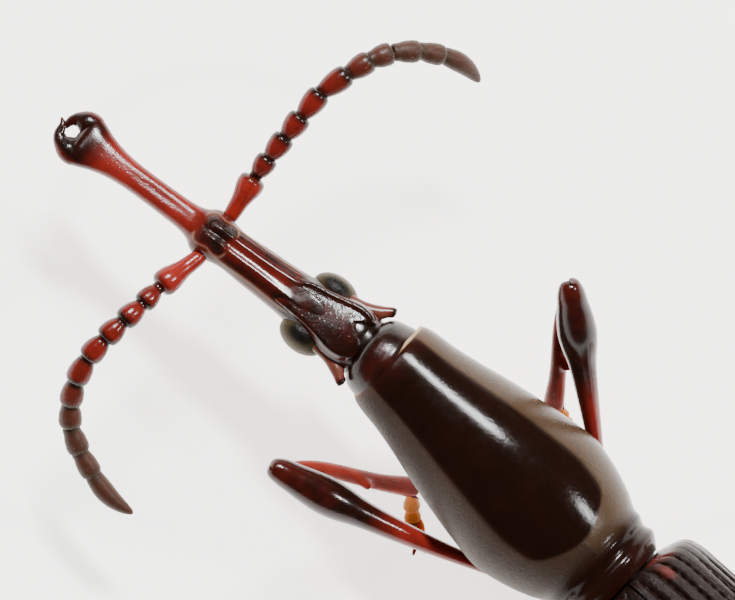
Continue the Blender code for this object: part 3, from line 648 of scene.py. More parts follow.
def tube(path, radii, cols, side, flat=1.0, relief=None):
    """A tube round a path. Flat stretches it along side, relief adds to its radius."""
    path = np.asarray(path, float)
    along = units(np.gradient(path, axis=0))
    side = np.asarray(side, float)
    across = units(side - along * (along @ side)[:, None])
    other = np.cross(along, across)
    angle = math.tau * np.arange(cols) / cols
    radius = np.asarray(radii, float)[:, None] * np.ones(cols)
    if relief is not None:
        radius = radius + relief(angle[None, :])
    x = radius * np.cos(angle) * flat
    y = radius * np.sin(angle)
    return path[:, None] + across[:, None] * x[..., None] + other[:, None] * y[..., None]


def round_gap(angle, centre):
    """The signed turn from a centre, the short way round."""
    return (angle - centre + math.pi) % math.tau - math.pi


# Finishes


def math_operator(operation, reflected=False):
    """A Python operator on wires that adds a Math node."""

    def join(wire, other):
        values = (other, wire) if reflected else (wire, other)
        return wire.tree.node("ShaderNodeMath", {"operation": operation}, dict(enumerate(values)))

    return join


class Wire:
    """A socket of a node. Python's operators on it add Math nodes."""

    __add__, __radd__ = math_operator("ADD"), math_operator("ADD", True)
    __sub__, __rsub__ = math_operator("SUBTRACT"), math_operator("SUBTRACT", True)
    __mul__, __rmul__ = math_operator("MULTIPLY"), math_operator("MULTIPLY", True)

    def __init__(self, tree, socket):
        self.tree = tree
        self.socket = socket

    def clamp(self):
        return self.tree.node("ShaderNodeClamp", {}, {0: self})


class Tree:
    """The nodes of a material, or of the surround, in the making."""

    def __init__(self, owner):
        owner.use_nodes = True
        self.nodes = owner.node_tree.nodes
        self.links = owner.node_tree.links

    def feed(self, socket, value):
        if isinstance(value, Wire):
            self.links.new(value.socket, socket)
        else:
            socket.default_value = value

    def node(self, kind, settings, sockets, output=0):
        """A node with its settings, then values or wires for its sockets by name or place."""
        made = self.nodes.new(kind)
        for key, value in settings.items():
            if key == "stops":
                set_stops(made.color_ramp, value)
            else:
                setattr(made, key, value)
        for key, value in sockets.items():
            self.feed(made.inputs[key], value)
        return Wire(self, made.outputs[output])


def set_stops(ramp, stops):
    while len(ramp.elements) < len(stops):
        ramp.elements.new(0.5)
    for element, (place, colour) in zip(ramp.elements, stops):
        element.position = place
        element.color = colour


class Finish(Tree):
    """A material in the making: a Principled shader and the nodes that feed it."""

    def __init__(self, name, **settings):
        self.material = bpy.data.materials.new(name)
        super().__init__(self.material)
        self.shader = self.nodes["Principled BSDF"].inputs
        for socket, value in settings.items():
            self.drive(socket.replace("_", " "), value)

    def drive(self, socket, value):
        """Feeds a socket of the shader itself."""
        self.feed(self.shader[socket], value)

    def mark(self, name):
        """A number kept on the mesh, such as how dark or pale a place is."""
        return self.node("ShaderNodeAttribute", {"attribute_name": name}, {}, 2)

    def place(self, scale):
        """Where a point is, in millimetres times the scale."""
        at = self.node("ShaderNodeTexCoord", {}, {}, 3)
        return self.node("ShaderNodeVectorMath", {"operation": "SCALE"}, {0: at, "Scale": scale / MM})

    def noise(self, scale, detail, roughness):
        sockets = {"Vector": self.place(scale), "Scale": 1.0, "Detail": detail, "Roughness": roughness}
        return self.node("ShaderNodeTexNoise", {}, sockets)

    def cells(self, scale, feature="F1"):
        sockets = {"Vector": self.place(scale), "Scale": 1.0}
        return self.node("ShaderNodeTexVoronoi", {"feature": feature}, sockets)

    def mix(self, factor, low, high):
        """A colour between two colours."""
        return self.node("ShaderNodeMix", {"data_type": "RGBA"}, {0: factor, 6: low, 7: high}, 2)

    def range(self, value, low, high, out_low=0.0, out_high=1.0):
        """A smooth rise from out_low to out_high as the value goes from low to high."""
        sockets = dict(enumerate((value, low, high, out_low, out_high)))
        return self.node("ShaderNodeMapRange", {"interpolation_type": "SMOOTHSTEP"}, sockets)

    def bump(self, height, strength, depth_mm):
        sockets = {"Strength": strength, "Distance": depth_mm * MM, "Height": height}
        self.drive("Normal", self.node("ShaderNodeBump", {}, sockets))


def shaded(colour, share):
    """A colour made darker."""
    return (*(share * c for c in colour[:3]), 1.0)


def cuticle(name, dark, red, pale, gloss, pits=0.0, sparkle=0.0, glow=0.0, ior=1.4):
    """Hard glossy shell: dark where it is thick, red where thin, with paler thin edges; on some pieces its
    marks also carry painted shade, glow and reflection.
    """
    finish = Finish(
        name,
        IOR=ior,
        Subsurface_Weight=glow,
        Subsurface_Radius=(1.0, 0.25, 0.15),
        Subsurface_Scale=0.25 * MM,
    )
    tone, pale_mark, rough_mark = (finish.mark(key) for key in ("tone", "pale", "rough"))
    cloud = finish.noise(3.2, 3.0, 0.6)
    fine = finish.noise(14.0, 3.0, 0.6)
    depth = (tone + (cloud - 0.5) * 0.45).clamp()
    deep_red = tuple(0.4 * a + 0.6 * b for a, b in zip(red, dark))
    colour = finish.mix(finish.range(depth, 0.02, 0.55), red, deep_red)
    colour = finish.mix(finish.range(depth, 0.45, 0.95), colour, dark)
    colour = finish.mix(pale_mark, colour, pale)
    finish.drive("Base Color", finish.mix(finish.range(fine, 0.45, 0.8) * 0.3, colour, dark))
    sheen = finish.range(fine, 0.2, 0.9, gloss * 0.75, gloss * 1.5)
    finish.drive("Roughness", sheen + pale_mark * 0.3 + rough_mark * 0.08)
    height = finish.noise(55.0, 2.0, 0.5) * 0.25 + cloud * 0.4
    if pits:
        height = height + finish.range(finish.cells(20.0), 0.05, 0.30) * pits * rough_mark
    if sparkle:
        height = height + finish.noise(30.0, 3.0, 0.7) * sparkle * rough_mark
    finish.bump(height, 0.35, 0.012)
    return finish.material


def eye_finish(name, rim, centre, edge):
    """Fine facets over a glossy olive ball with a black middle, and a painted reflection on its pale outer
    edge.
    """
    finish = Finish(name, IOR=1.22)
    haze = finish.noise(6.0, 2.0, 0.5)
    middle = (finish.mark("tone") + (haze - 0.5) * 0.25).clamp()
    colour = finish.mix(middle, rim, centre)
    finish.drive("Base Color", finish.mix(finish.mark("pale"), colour, edge))
    facets = finish.cells(38.0, "DISTANCE_TO_EDGE")
    finish.drive("Roughness", finish.range(facets, 0.0, 0.35, 0.38, 0.22))
    finish.bump(finish.range(facets, 0.0, 0.30), 0.4, 0.004)
    return finish.material


def hair_finish(name, colour):
    """Thin pale hair, a little darker in places."""
    finish = Finish(name, IOR=1.5)
    strand = finish.noise(9.0, 2.0, 0.5)
    finish.drive("Base Color", finish.mix(strand, colour, shaded(colour, 0.6)))
    finish.drive("Roughness", finish.range(strand, 0.2, 0.8, 0.35, 0.6))
    return finish.material


def floor_finish(colour, glow):
    """A white base lit from within."""
    finish = Finish("studio floor", Roughness=0.9, Specular_IOR_Level=0.1, Emission_Strength=glow)
    cloud = finish.noise(0.02, 2.0, 0.5)
    finish.drive("Base Color", finish.mix(cloud, colour, shaded(colour, 0.985)))
    finish.drive("Emission Color", colour)
    return finish.material


# Shapes


def folded(edge, centre, steps):
    """Rings that fold an edge in, from a share of its size and a move along Y each."""
    return np.array([(edge - centre) * (share, 1, share) + centre + (0, back, 0) for share, back in steps])


def pronotum_grid(rows=230, cols=168):
    """The long pear of the pronotum, its hind collars and its edges folded in."""
    share = crowded(PRO_OUTLINE, rows)
    wide, high, deep = outline(PRO_OUTLINE, share)
    cos, sin = section(cols, 2.05)
    x = PRO_HALF_WIDTH * wide[:, None] * cos
    tall = np.where(sin > 0, PRO_UP * high[:, None], PRO_DOWN * deep[:, None])
    z = tall * sin
    y = -PRO_LENGTH * share[:, None] * np.ones(cols)
    top = np.clip(sin, 0, 1)
    on_disc = smooth_step(0.14, 0.22, share) * (1 - smooth_step(0.5, 0.62, share))
    z = z - 0.010 * bump(x, 0.0, 0.016) * on_disc[:, None] * top
    points = np.stack([x, y, z + AXIS_Z], axis=-1)
    centre = np.array((0, 0, AXIS_Z))
    front = folded(points[-1], centre, ((0.988, -0.004), (0.970, 0.004), (0.962, 0.06), (0.955, 0.35)))
    hind = folded(points[0], centre, ((0.5, -0.22), (0.93, -0.21), (0.955, -0.10), (0.975, -0.004)))
    points = np.concatenate([hind, points, front])
    share = np.concatenate([[0] * len(hind), share, [1] * len(front)])
    pale = smooth_step(0.9905, 0.9930, share)
    tone = 0.90 - 0.30 * smooth_step(0.90, 1.0, share) - 0.25 * (1 - smooth_step(0.0, 0.12, share))
    # Painted reflection: the olive band round the sides and their redder tone stand in for the bright
    # surround mirrored there, painted fainter on the left.
    across = points[..., 0] / np.abs(points[..., 0]).max(axis=1)[:, None]
    hind_bend = 1 - smooth_step(0.17, 0.30, share)[:, None]
    side = smooth_step(0.60, 0.67, np.hypot(across, 0.66 * hind_bend))
    side = side * smooth_step(0.10, 0.18, share)[:, None]
    olive = side * (0.075 - 0.030 * np.sign(across))
    rough = 0.3 + side * (2.2 + 1.2 * np.sign(across))
    return Grid(points, tone[:, None] - 0.1 * side, np.maximum(pale[:, None], olive), rough)


def arc(width, height, count, square=2.3):
    """Quarter sections from the middle line down to the side, one row for each width."""
    angle = math.pi / 2 * (1 - np.arange(count + 1) / count)
    x = width[:, None] * signed_power(np.cos(angle), 2 / square)
    z = height[:, None] * signed_power(np.sin(angle), 2 / square)
    return np.maximum(x, GAP / 2), z


def wing_case_grid(side, rib_depth, pit_depth, rows=400, across=190):
    """A ribbed and pitted sheet, smoother on the shoulder and redder at its edge."""
    share = crowded(ELYTRA_OUTLINE, rows)
    wide, high = outline(ELYTRA_OUTLINE, share)
    width, height = ELYTRA_HALF_WIDTH * wide, ELYTRA_HEIGHT * high
    x, z = arc(width, height, across)
    u = np.arange(across + 1) / across
    y = (GAP + ELYTRA_LENGTH * share)[:, None]
    fade = np.minimum(1.0, width / 0.6)[:, None] * smooth_step(0.0, 0.018, share)[:, None]
    outer = smooth_step(0.42, 0.54, u)[None, :]
    fade = fade * (1 - 0.92 * outer * (1 - smooth_step(0.25, 0.9, y)))
    rib = 1 - np.abs(np.cos(math.pi * RIBS * u)) ** 1.1
    sink = rib_depth * rib**1.6 * fade
    phase = (np.floor(u * RIBS) * 2.4)[None, :]
    pit = (0.5 + 0.5 * np.cos(math.tau * y / PIT_SPACING + phase)) ** 2.2
    pit_band = np.clip(rib, 0, 1)[None, :] ** 6
    sink = sink + pit_depth * pit * pit_band * fade
    sink = sink * (1 - smooth_step(0.965, 0.995, u))[None, :]
    out = np.stack([x / width[:, None] ** 2, z / height[:, None] ** 2], axis=-1)
    out /= np.linalg.norm(out, axis=-1, keepdims=True)
    x = np.maximum(x - sink * out[..., 0], GAP / 2)
    z = z - sink * out[..., 1]
    thin = np.minimum(ELYTRA_THICKNESS, width * 0.5)
    ux, uz = arc(width - thin, np.maximum(height - thin, 0.06), 14)
    x, z = np.concatenate([x, ux[:, ::-1]], axis=1), np.concatenate([z, uz[:, ::-1]], axis=1)
    points = np.stack([side * x, y + 0 * x, z + ELYTRA_EDGE_Z], axis=-1)
    shoulder = bump(u, 0.43, 0.13)[None, :] * bump(y, 0.07, 0.11)
    streak = bump(u, 0.25, 0.05)[None, :] * bump(y, 0.25, 0.13)
    side_edge = 0.25 * smooth_step(0.9, 1.0, u)[None, :]
    red, rough = np.zeros(x.shape), np.ones(x.shape)
    red[:, : across + 1] = np.clip(0.35 * shoulder + 0.50 * streak + side_edge, 0, 1)
    rough[:, : across + 1] = 1 - 0.75 * outer * (y < 1.2)
    return Grid(points, 0.96 - 0.9 * red, 0.0, rough)


def core_grid(start, end, rows, relief):
    """The body under the wing cases: a dome inside them and the belly below."""
    y = np.linspace(start, end, rows)
    share = (y - GAP) / ELYTRA_LENGTH
    wide, high = outline(ELYTRA_OUTLINE, share)
    width, height = ELYTRA_HALF_WIDTH * wide, ELYTRA_HEIGHT * high
    inset = ELYTRA_THICKNESS + GAP
    dx, dz = arc(width - inset, np.maximum(height - inset, 0.05), 10)
    ledge = GAP * 1.2
    depth = BELLY_DEPTH * (0.35 + 0.65 * np.minimum(1.0, wide))
    bx, bz = arc(width - 0.03, depth - ledge, 60, 2.2)
    bx, bz = bx[:, ::-1], bz[:, ::-1]
    bz = bz - relief(bx, y[:, None])
    hx, hz = np.concatenate([dx, bx], axis=1), np.concatenate([dz, -ledge - bz], axis=1)
    x = np.concatenate([hx, -hx[:, ::-1]], axis=1)
    z = np.concatenate([hz, hz[:, ::-1]], axis=1)
    points = np.stack([x, y[:, None] + 0 * x, z + ELYTRA_EDGE_Z], axis=-1)
    return Grid(points, 0.9)


def waist_grid():
    """The narrow start of the chest, which reaches into the hollow end of the pronotum."""
    _, wide, high, deep = PRO_OUTLINE[0]
    y = np.array((-0.13, -0.12, -0.02, 0.10))
    size = np.array((0.86, 0.92, 0.92, 0.88))[:, None]
    cos, sin = section(96, 2.05)
    tall = np.where(sin > 0, PRO_UP * high, PRO_DOWN * deep)
    x, z = size * PRO_HALF_WIDTH * wide * cos, AXIS_Z + size * tall * sin
    points = np.stack([x, y[:, None] + 0 * cos, z], axis=-1)
    return Grid(points, 1.0)


def chest_relief(x, y):
    """Seams of the plates under the chest."""
    middle = 0.018 * bump(x, 0.0, 0.02) * smooth_step(1.3, 1.6, y)
    first, second = CHEST_SEAMS
    across = 0.022 * (bump(y, first + 0.12 * x, 0.022) + bump(y, second - 0.1 * x, 0.022))
    sides = 0.020 * bump(x, 0.80, 0.018) * smooth_step(1.2, 1.4, y)
    return middle + across + sides


def belly_relief(x, y):
    """The joints of the five belly plates, and the long hollow of the male."""
    seams = 0.012 * bump(y, FIRST_BELLY_SEAM + 0.05 * np.abs(x), 0.02)
    for place in BELLY_SEAMS:
        seams = seams + 0.030 * bump(y, place + 0.06 * np.abs(x), 0.024)
    hollow = 0.045 * bump(x, 0.0, 0.22) * smooth_step(3.8, 4.2, y) * (1 - smooth_step(5.6, 6.0, y))
    return seams + hollow


def capsule_grid(rows=520, cols=168):
    """Head and snout in one skin, with the ridges, the groove and the swollen middle."""
    y = crowded(CAPSULE_OUTLINE, rows)[::-1]
    wide, up, down = outline(CAPSULE_OUTLINE, y)
    square = 2.3 + 0.1 * smooth_step(-2.3, -2.6, y)
    cos, sin = section(cols, square[:, None])
    x = wide[:, None] * cos
    z = np.where(sin > 0, up[:, None], down[:, None]) * sin
    off = np.abs(x)
    at = y[:, None]
    behind_node = 1 - smooth_step(-1.95, -2.08, at)
    on_snout = smooth_step(-0.80, -1.10, at) * behind_node
    ridge_x = 0.080 + 0.03 * smooth_step(-1.6, -0.9, at)
    line_x = 0.205 + 0.02 * smooth_step(-1.6, -1.0, at)
    raised = z + 0.013 * on_snout * bump(off, ridge_x, 0.036) - 0.007 * on_snout * bump(x, 0.0, 0.042)
    raised = raised + 0.012 * on_snout * bump(off, line_x, 0.010)
    raised = raised - 0.010 * on_snout * bump(off, line_x + 0.022, 0.012)
    raised = raised - 0.010 * bump(x, 0.0, 0.05) * bump(at, -2.9, 0.42)
    turn = np.arctan2(at - NODE_Y, x)
    lobed = NODE_RADIUS + NODE_LOBES * np.cos(4 * turn + math.pi)
    reach = np.hypot(x, (at - NODE_Y) * 0.95) / lobed
    inside = 1 - smooth_step(0.70, 1.10, reach)
    rim_line = bump(reach, 1.06, 0.06) * smooth_step(0.08, 0.15, off)
    raised = raised + 0.005 * rim_line + 0.012 * inside * bump(reach, 0.4, 0.4)
    raised = raised - 0.018 * inside * bump(x, 0.01, 0.032)
    for side in (-1, 1):
        raised = raised + 0.022 * bump(x, side * 0.075, 0.045) * bump(at, -2.09, 0.08)
    z = np.where(sin > 0, raised, z)
    points = np.stack([x, at * np.ones(cols), z], axis=-1)
    mouth = folded(points[-1], np.zeros(3), ((0.97, -0.010), (0.90, -0.014), (0.78, 0.01), (0.6, 0.12)))
    points = np.concatenate([points, mouth])
    tone = 0.88 - 0.26 * smooth_step(-0.95, -1.3, y)
    tone = tone - 0.38 * smooth_step(-2.25, -2.5, y) + 0.60 * smooth_step(-3.62, -3.90, y)
    tone = tone[:, None] * np.ones(cols) + 0.24 * inside * (sin > 0)
    tone = tone - 0.10 * smooth_step(0.20, 0.30, off) * smooth_step(-0.95, -0.8, at)
    tone = tone - 0.10 * on_snout * bump(x, 0.0, 0.05) + 0.16 * on_snout * bump(off, 0.16, 0.05)
    tone = tone - 0.5 * smooth_step(0.24, 0.32, off) * smooth_step(-3.6, -3.85, at)
    side_band = smooth_step(line_x, line_x + 0.02, off) * smooth_step(-0.95, -1.15, at) * behind_node
    line = on_snout * bump(off, line_x, 0.012)
    # Painted glow: the paler sides of the snout beyond the node stand for light shining through them from
    # below.
    thin = smooth_step(0.88, 1.0, np.abs(cos)) * smooth_step(-2.35, -2.5, at)
    thin = thin * (1 - smooth_step(-3.6, -3.8, at))
    pale = np.clip((0.45 * line + 0.60 * rim_line) * (z > 0) + 0.30 * side_band + 0.25 * thin, 0, 1)
    tone = np.concatenate([np.clip(tone, 0, 1), np.ones((len(mouth), cols))])
    pale = np.concatenate([pale, np.zeros((len(mouth), cols))])
    beyond_node = smooth_step(-2.4, -2.6, at) * (0.6 - 0.5 * smooth_step(-3.6, -3.8, at))
    rough = np.concatenate([side_band + beyond_node + 0.6 * inside, np.zeros((len(mouth), cols))])
    return Grid(points, tone, pale, rough).moved(head_frame())


def plate_grid(rows=200, across=90):
    """The smooth plate on top of the head, with a hollow and two lobes behind."""
    level = crowded(PLATE_OUTLINE, rows)
    half, hollow = outline(PLATE_OUTLINE, level)
    _, up, _ = outline(CAPSULE_OUTLINE, level)
    t = np.linspace(-1, 1, across)
    even = np.sin(t * math.pi / 2) * 0.35 + t * 0.65
    x = half[:, None] * even
    off = np.abs(even)[None, :]
    rear = smooth_step(-0.50, -0.06, level)[:, None]
    y = level[:, None] - rear * (0.16 * bump(x, -0.09, 0.085) - 0.012 * bump(x, 0.2, 0.1))
    front = smooth_step(-1.55, -1.00, level)[:, None]
    crown = 0.055 + 0.020 * smooth_step(-0.95, -1.3, level)
    to_ridge = smooth_step(-0.88, -1.18, level)[:, None]
    crest_x = 0.80 * half[:, None] * (1 - to_ridge) + 0.098 * to_ridge
    top = up[:, None] + 0.012 * front - 0.04 * (1 - front) - crown[:, None] * off**2
    crest = front * (0.015 - 0.009 * np.sign(x)) * (1 - 0.5 * to_ridge)
    top = top + crest * bump(np.abs(x), crest_x, 0.040) - 0.006 * to_ridge * bump(x, 0, 0.045)
    top = top - hollow[:, None] * bump(x, 0.02, 0.13) * 0.55
    top = top - 0.06 * smooth_step(0.84, 1.0, off) ** 2
    top = top - 0.05 * smooth_step(-0.10, -0.058, level)[:, None] ** 2
    under = top[:, ::-1] - PLATE_THICKNESS
    points = np.stack(
        [
            np.concatenate([x, x[:, ::-1] * 0.985], axis=1),
            np.concatenate([y, y[:, ::-1]], axis=1),
            np.concatenate([top, under], axis=1),
        ],
        axis=-1,
    )
    tone = 0.86 - 0.34 * smooth_step(-0.95, -1.25, level)
    tone = tone[:, None] - 0.25 * smooth_step(0.86, 1.0, off)
    tone = np.concatenate([tone, tone], axis=1)
    return Grid(points, tone, 0.0, -0.6).moved(head_frame())


def neck_grid(rows=90, cols=120):
    """The round neck between the head and the pronotum."""
    y = crowded(NECK_OUTLINE, rows)
    (half,) = outline(NECK_OUTLINE, y)
    cos, sin = section(cols, 2.0)
    x = half[:, None] * cos
    z = half[:, None] * NECK_ROUND * sin
    points = np.stack([x, y[:, None] * np.ones(cols), z], axis=-1)
    tone = 0.86 + 0.14 * bump(y, -0.03, 0.04)
    return Grid(points, tone[:, None], 0.0, 0.3).moved(head_frame())


def hind_process_grid(side):
    """The rod on a hind corner of the head, flattened a little."""
    rows = 60
    path = curve_through([(side * x, y, z, radius) for x, y, z, radius in PROCESS_CONTROLS], rows)
    share = np.linspace(0, 1, rows)
    tone = 0.58 + 0.4 * smooth_step(0.70, 0.85, share)
    pale = 0.25 * (1 - smooth_step(0.62, 0.78, share))
    points = tube(path[:, :3], path[:, 3], 32, (1, 0, 0))
    points[..., 2] = 0.12 + (points[..., 2] - 0.12) * 0.8
    return Grid(points, tone[:, None], pale[:, None]).moved(head_frame())


def eye_grid(side):
    """The poles of its rows point out sideways."""
    turn = Matrix.Rotation(math.radians(90 * side), 4, "Z")
    radii = (EYE_RADII[1], EYE_RADII[0], EYE_RADII[2])
    points = ellipsoid((side * EYE_X, EYE_Y, EYE_Z), radii, 56, 72, turn)
    out = (points[..., 0] * side - EYE_X) / EYE_RADII[0]
    far = np.hypot((points[..., 0] * side - 0.335) / 0.085, (points[..., 1] - EYE_Y) / 0.15)
    tone = 1 - smooth_step(0.75, 1.5, far)
    # The pale outer side is painted reflection of the bright surround.
    return Grid(points, tone, smooth_step(0.62, 0.90, out)).moved(head_frame())


def mandible_grid(side):
    """A curved jaw with teeth on its inner side."""
    rows = 80
    controls = JAW_CONTROLS["left" if side > 0 else "right"]
    path = curve_through([(side * x, HINGE_Y + y, z, radius) for x, y, z, radius in controls], rows)
    share = np.linspace(0, 1, rows)[:, None]

    def tooth(angle):
        inner = bump(round_gap(angle, math.pi if side > 0 else 0), 0, 0.5)
        return (0.008 * bump(share, 0.56, 0.05) + 0.055 * bump(share, 0.27, 0.10)) * inner

    points = tube(path[:, :3], path[:, 3], 40, (1, 0, 0), 1.0, tooth)
    points[..., 2] *= JAW_FLATNESS
    tone = 0.86 - 0.40 * smooth_step(0.03, 0.12, np.abs(points[..., 0]) - path[:, :1] * side)
    return Grid(points, tone, 0.0, 0.4).moved(head_frame())


def scape_root(side):
    """Where an antenna starts, in the side of the snout's node."""
    out, along, up = ANTENNA_ROOT
    return np.array(head_frame() @ Vector((side * out, along, up)))


def feeler_path(side, feeler):
    """The joints of an antenna, from the snout out to its tip."""
    points = [scape_root(side)]
    for length, heading, rise in zip(feeler["lengths"], feeler["headings"], feeler["rises"]):
        turn, lift = math.radians(heading), math.radians(rise)
        level = math.cos(lift)
        step = np.array((side * math.cos(turn) * level, -math.sin(turn) * level, math.sin(lift)))
        points.append(points[-1] + step * length)
    return points


def joints_of(points):
    """The start and end of each bead, a little apart where the solids part."""
    gap = unit(points[2] - points[1]) * GAP
    apart = unit(points[FUNICLE_BEADS + 2] - points[FUNICLE_BEADS + 1]) * GAP * 1.4
    pairs = []
    for i, (a, b) in enumerate(zip(points[1:], points[2:])):
        shift = gap + apart * (i >= FUNICLE_BEADS)
        pairs.append((a + shift, b + shift))
    return pairs


def painted_side_shade(cols):
    """Painted shade, darker down the sides than on top, standing in for light that passes through the
    joint.
    """
    return 0.5 * smooth_step(0.75, 0.1, np.cos(math.tau * np.arange(cols) / cols))[None, :]


def scape_grid(start, end):
    """The first joint of an antenna, a club with a dark end."""
    cols = 48
    rows = curve_through(SCAPE_PROFILE, 80)
    path = start + (end - start) * rows[:, :1]
    share = rows[:, 0]
    tone = 0.05 + 0.60 * smooth_step(0.80, 0.99, share) + 0.3 * (1 - smooth_step(-0.05, 0.1, share))
    return Grid(tube(path, rows[:, 1], cols, (0, 0, 1)), tone[:, None] + painted_side_shade(cols), 0.0, 0.3)


def bead_grid(start, end, width, foot, side, last, dull):
    """A pear shaped joint, narrow at its foot, which lies in the end of the one before."""
    if last:
        shares = ((-0.12, 0.50), (-0.06, 0.78), (0.06, 0.90), (0.30, 1.0), (0.55, 0.88), (0.77, 0.64))
        shares += ((0.91, 0.40), (0.975, 0.20), (1.0, 0.01))
    else:
        shares = ((-0.14, 0.30), (-0.12, foot * 0.9), (0.02, foot), (0.14, 0.4 * foot + 0.50))
        shares += ((0.36, 0.2 * foot + 0.79), (0.56, 0.985), (0.68, 1.0), (0.82, 0.965), (0.92, 0.87))
        shares += ((0.975, 0.70), (0.99, 0.50), (0.975, 0.30), (0.97, 0.01))
    cols = 44
    rows = curve_through(shares, 64)
    share = rows[:, 0]
    path = start + (end - start) * rows[:, :1]
    if last:
        path[:, 0] += side * LAST_JOINT_BEND * np.sin(math.pi * np.clip(share, 0, 1))
    tone = 0.38 + 0.40 * (1 - smooth_step(-0.02, 0.20, share))
    tone = tone + 0.55 * smooth_step(0.62, 0.95, share) * (not last)
    tone = np.clip(tone[:, None] + 0.2 * dull + painted_side_shade(cols), 0, 1)
    return Grid(tube(path, rows[:, 1] * width / 2, cols, (0, 0, 1)), tone, dull, 0.3 + 0.6 * dull)


def leg_line(start, end, profile, count, stout=1.0, bent=(0, 0, 0), early=THIGH_BEND):
    """The path of a thigh or shin, its radii and the shares of the way they stand at."""
    rows = curve_through(profile, count)
    start, end = np.array(start), np.array(end)
    share = rows[:, 0]
    inner = np.clip(share, 0, 1)[:, None]
    lift = np.array((0, 0, np.linalg.norm(end - start) * LEG_RISE)) * np.sin(math.pi * inner)
    sideways = np.array(bent) * inner ** early[0] * (1 - inner) ** early[1] / early[2]
    return start + (end - start) * share[:, None] + lift + sideways, rows[:, 1] * stout, share


def square_to(line, way):
    """The direction nearest to a way that is square to a line."""
    return unit(way - line * way.dot(line))


def inner_direction(place):
    """From the femur towards the shin, square to the femur."""
    knee, base, ankle = (np.array(place[key]) for key in ("knee", "base", "ankle"))
    return square_to(unit(knee - base), ankle - knee)


def femur_grids(leg):
    """The thigh with its tooth, and the short joint before it."""
    place = LEGS[leg]
    stout = FEMUR_STOUTNESS[leg.split("_")[0]]
    bent = BENT_THIGH.get(leg, (0, 0, 0))
    path, radii, share = leg_line(place["base"], place["knee"], FEMUR_PROFILE, 120, stout, bent)
    inner = inner_direction(place)

    def tooth(angle):
        s = share[:, None]
        off = round_gap(angle, 0)
        point = TOOTH_HEIGHT * np.clip(1 - np.abs(s - FEMUR_TOOTH) / 0.05, 0, 1) ** 1.2
        notch = 0.030 * bump(s, 0.82, 0.04)
        slot = 0.10 * smooth_step(0.955, 1.03, s) * bump(off, 0, 0.55)
        return (point - notch) * bump(off, 0, 0.34) - slot

    tone = 0.12 + 0.72 * smooth_step(0.42, 0.66, share) - 0.15 * smooth_step(0.92, 1.02, share)
    thigh = Grid(tube(path, radii, 56, inner, 1.0, tooth), tone[:, None])
    out = unit(np.array(place["base"]) - np.array(place["coxa"]))
    centre = np.array(place["base"]) - out * 0.05
    trochanter = Grid(ellipsoid(centre, (0.105, 0.12, 0.105), 28, 36), 0.5)
    return [thigh, trochanter]


def tibia_grids(leg):
    """The shin with its tooth, the ball of the knee and two spurs."""
    place = LEGS[leg]
    bent = BENT_SHIN.get(leg, (0, 0, 0))
    path, radii, share = leg_line(place["knee"], place["ankle"], TIBIA_PROFILE, 110, 1.0, bent, SHIN_BEND)
    knee, ankle, base = (np.array(place[key]) for key in ("knee", "ankle", "base"))
    line = unit(ankle - knee)
    side = square_to(line, base - knee)
    fore = leg.startswith("fore")

    def tooth(angle):
        s = share[:, None]
        point = TOOTH_HEIGHT * fore * np.clip(1 - np.abs(s - TIBIA_TOOTH) / 0.06, 0, 1) ** 1.3
        brush = 0.018 * smooth_step(0.6, 0.9, s)
        return (point + brush) * bump(round_gap(angle, 0), 0, 0.42)

    tone = 0.16 + 0.35 * smooth_step(0.12, 0.0, share) + 0.10 * smooth_step(0.9, 1.0, share)
    grids = [Grid(tube(path, radii, 44, side, 1.0, tooth), tone[:, None], 0.12)]
    grids.append(Grid(ellipsoid(knee, (KNEE_RADIUS,) * 3, 20, 28), 0.8))
    inner = side if fore else -square_to(line, inner_direction(place))
    for turn in (-1, 1):
        across = np.cross(line, inner) * 0.06 * turn
        foot = ankle - line * 0.05 + inner * 0.05 + across
        tip = foot + line * SPUR_LENGTH + inner * 0.05 + across * 0.3
        path = curve_through([foot, (foot + tip) / 2 + inner * 0.008, tip], 14)
        grids.append(Grid(tube(path, np.linspace(SPUR_RADIUS, 0.003, 14), 12, inner), 0.8))
    return grids


def tarsus_path(leg):
    """A function for the place at a share of the way from the ankle to the claws."""
    place = LEGS[leg]
    start, end = np.array(place["ankle"]), np.array(place["claws"])

    def at(share):
        point = start + (end - start) * share
        if leg != LIFTED:
            fall = 1 - (1 - min(1.0, share / 0.60)) ** 1.5
            point[2] = start[2] + (SOLE_Z - start[2]) * fall
        return point

    return at


def tarsus_axes(leg):
    """The path of a foot, and its ways ahead, across and up."""
    at = tarsus_path(leg)
    ahead = unit(at(1.0) - at(0.5))
    across = unit(np.cross((0, 0, 1), ahead))
    return at, ahead, across, np.cross(ahead, across)


def above_floor(points, leg):
    """Presses what would reach below the floor into the flat sole."""
    if leg != LIFTED:
        points[..., 2] = np.maximum(points[..., 2], 0.0)
    return points


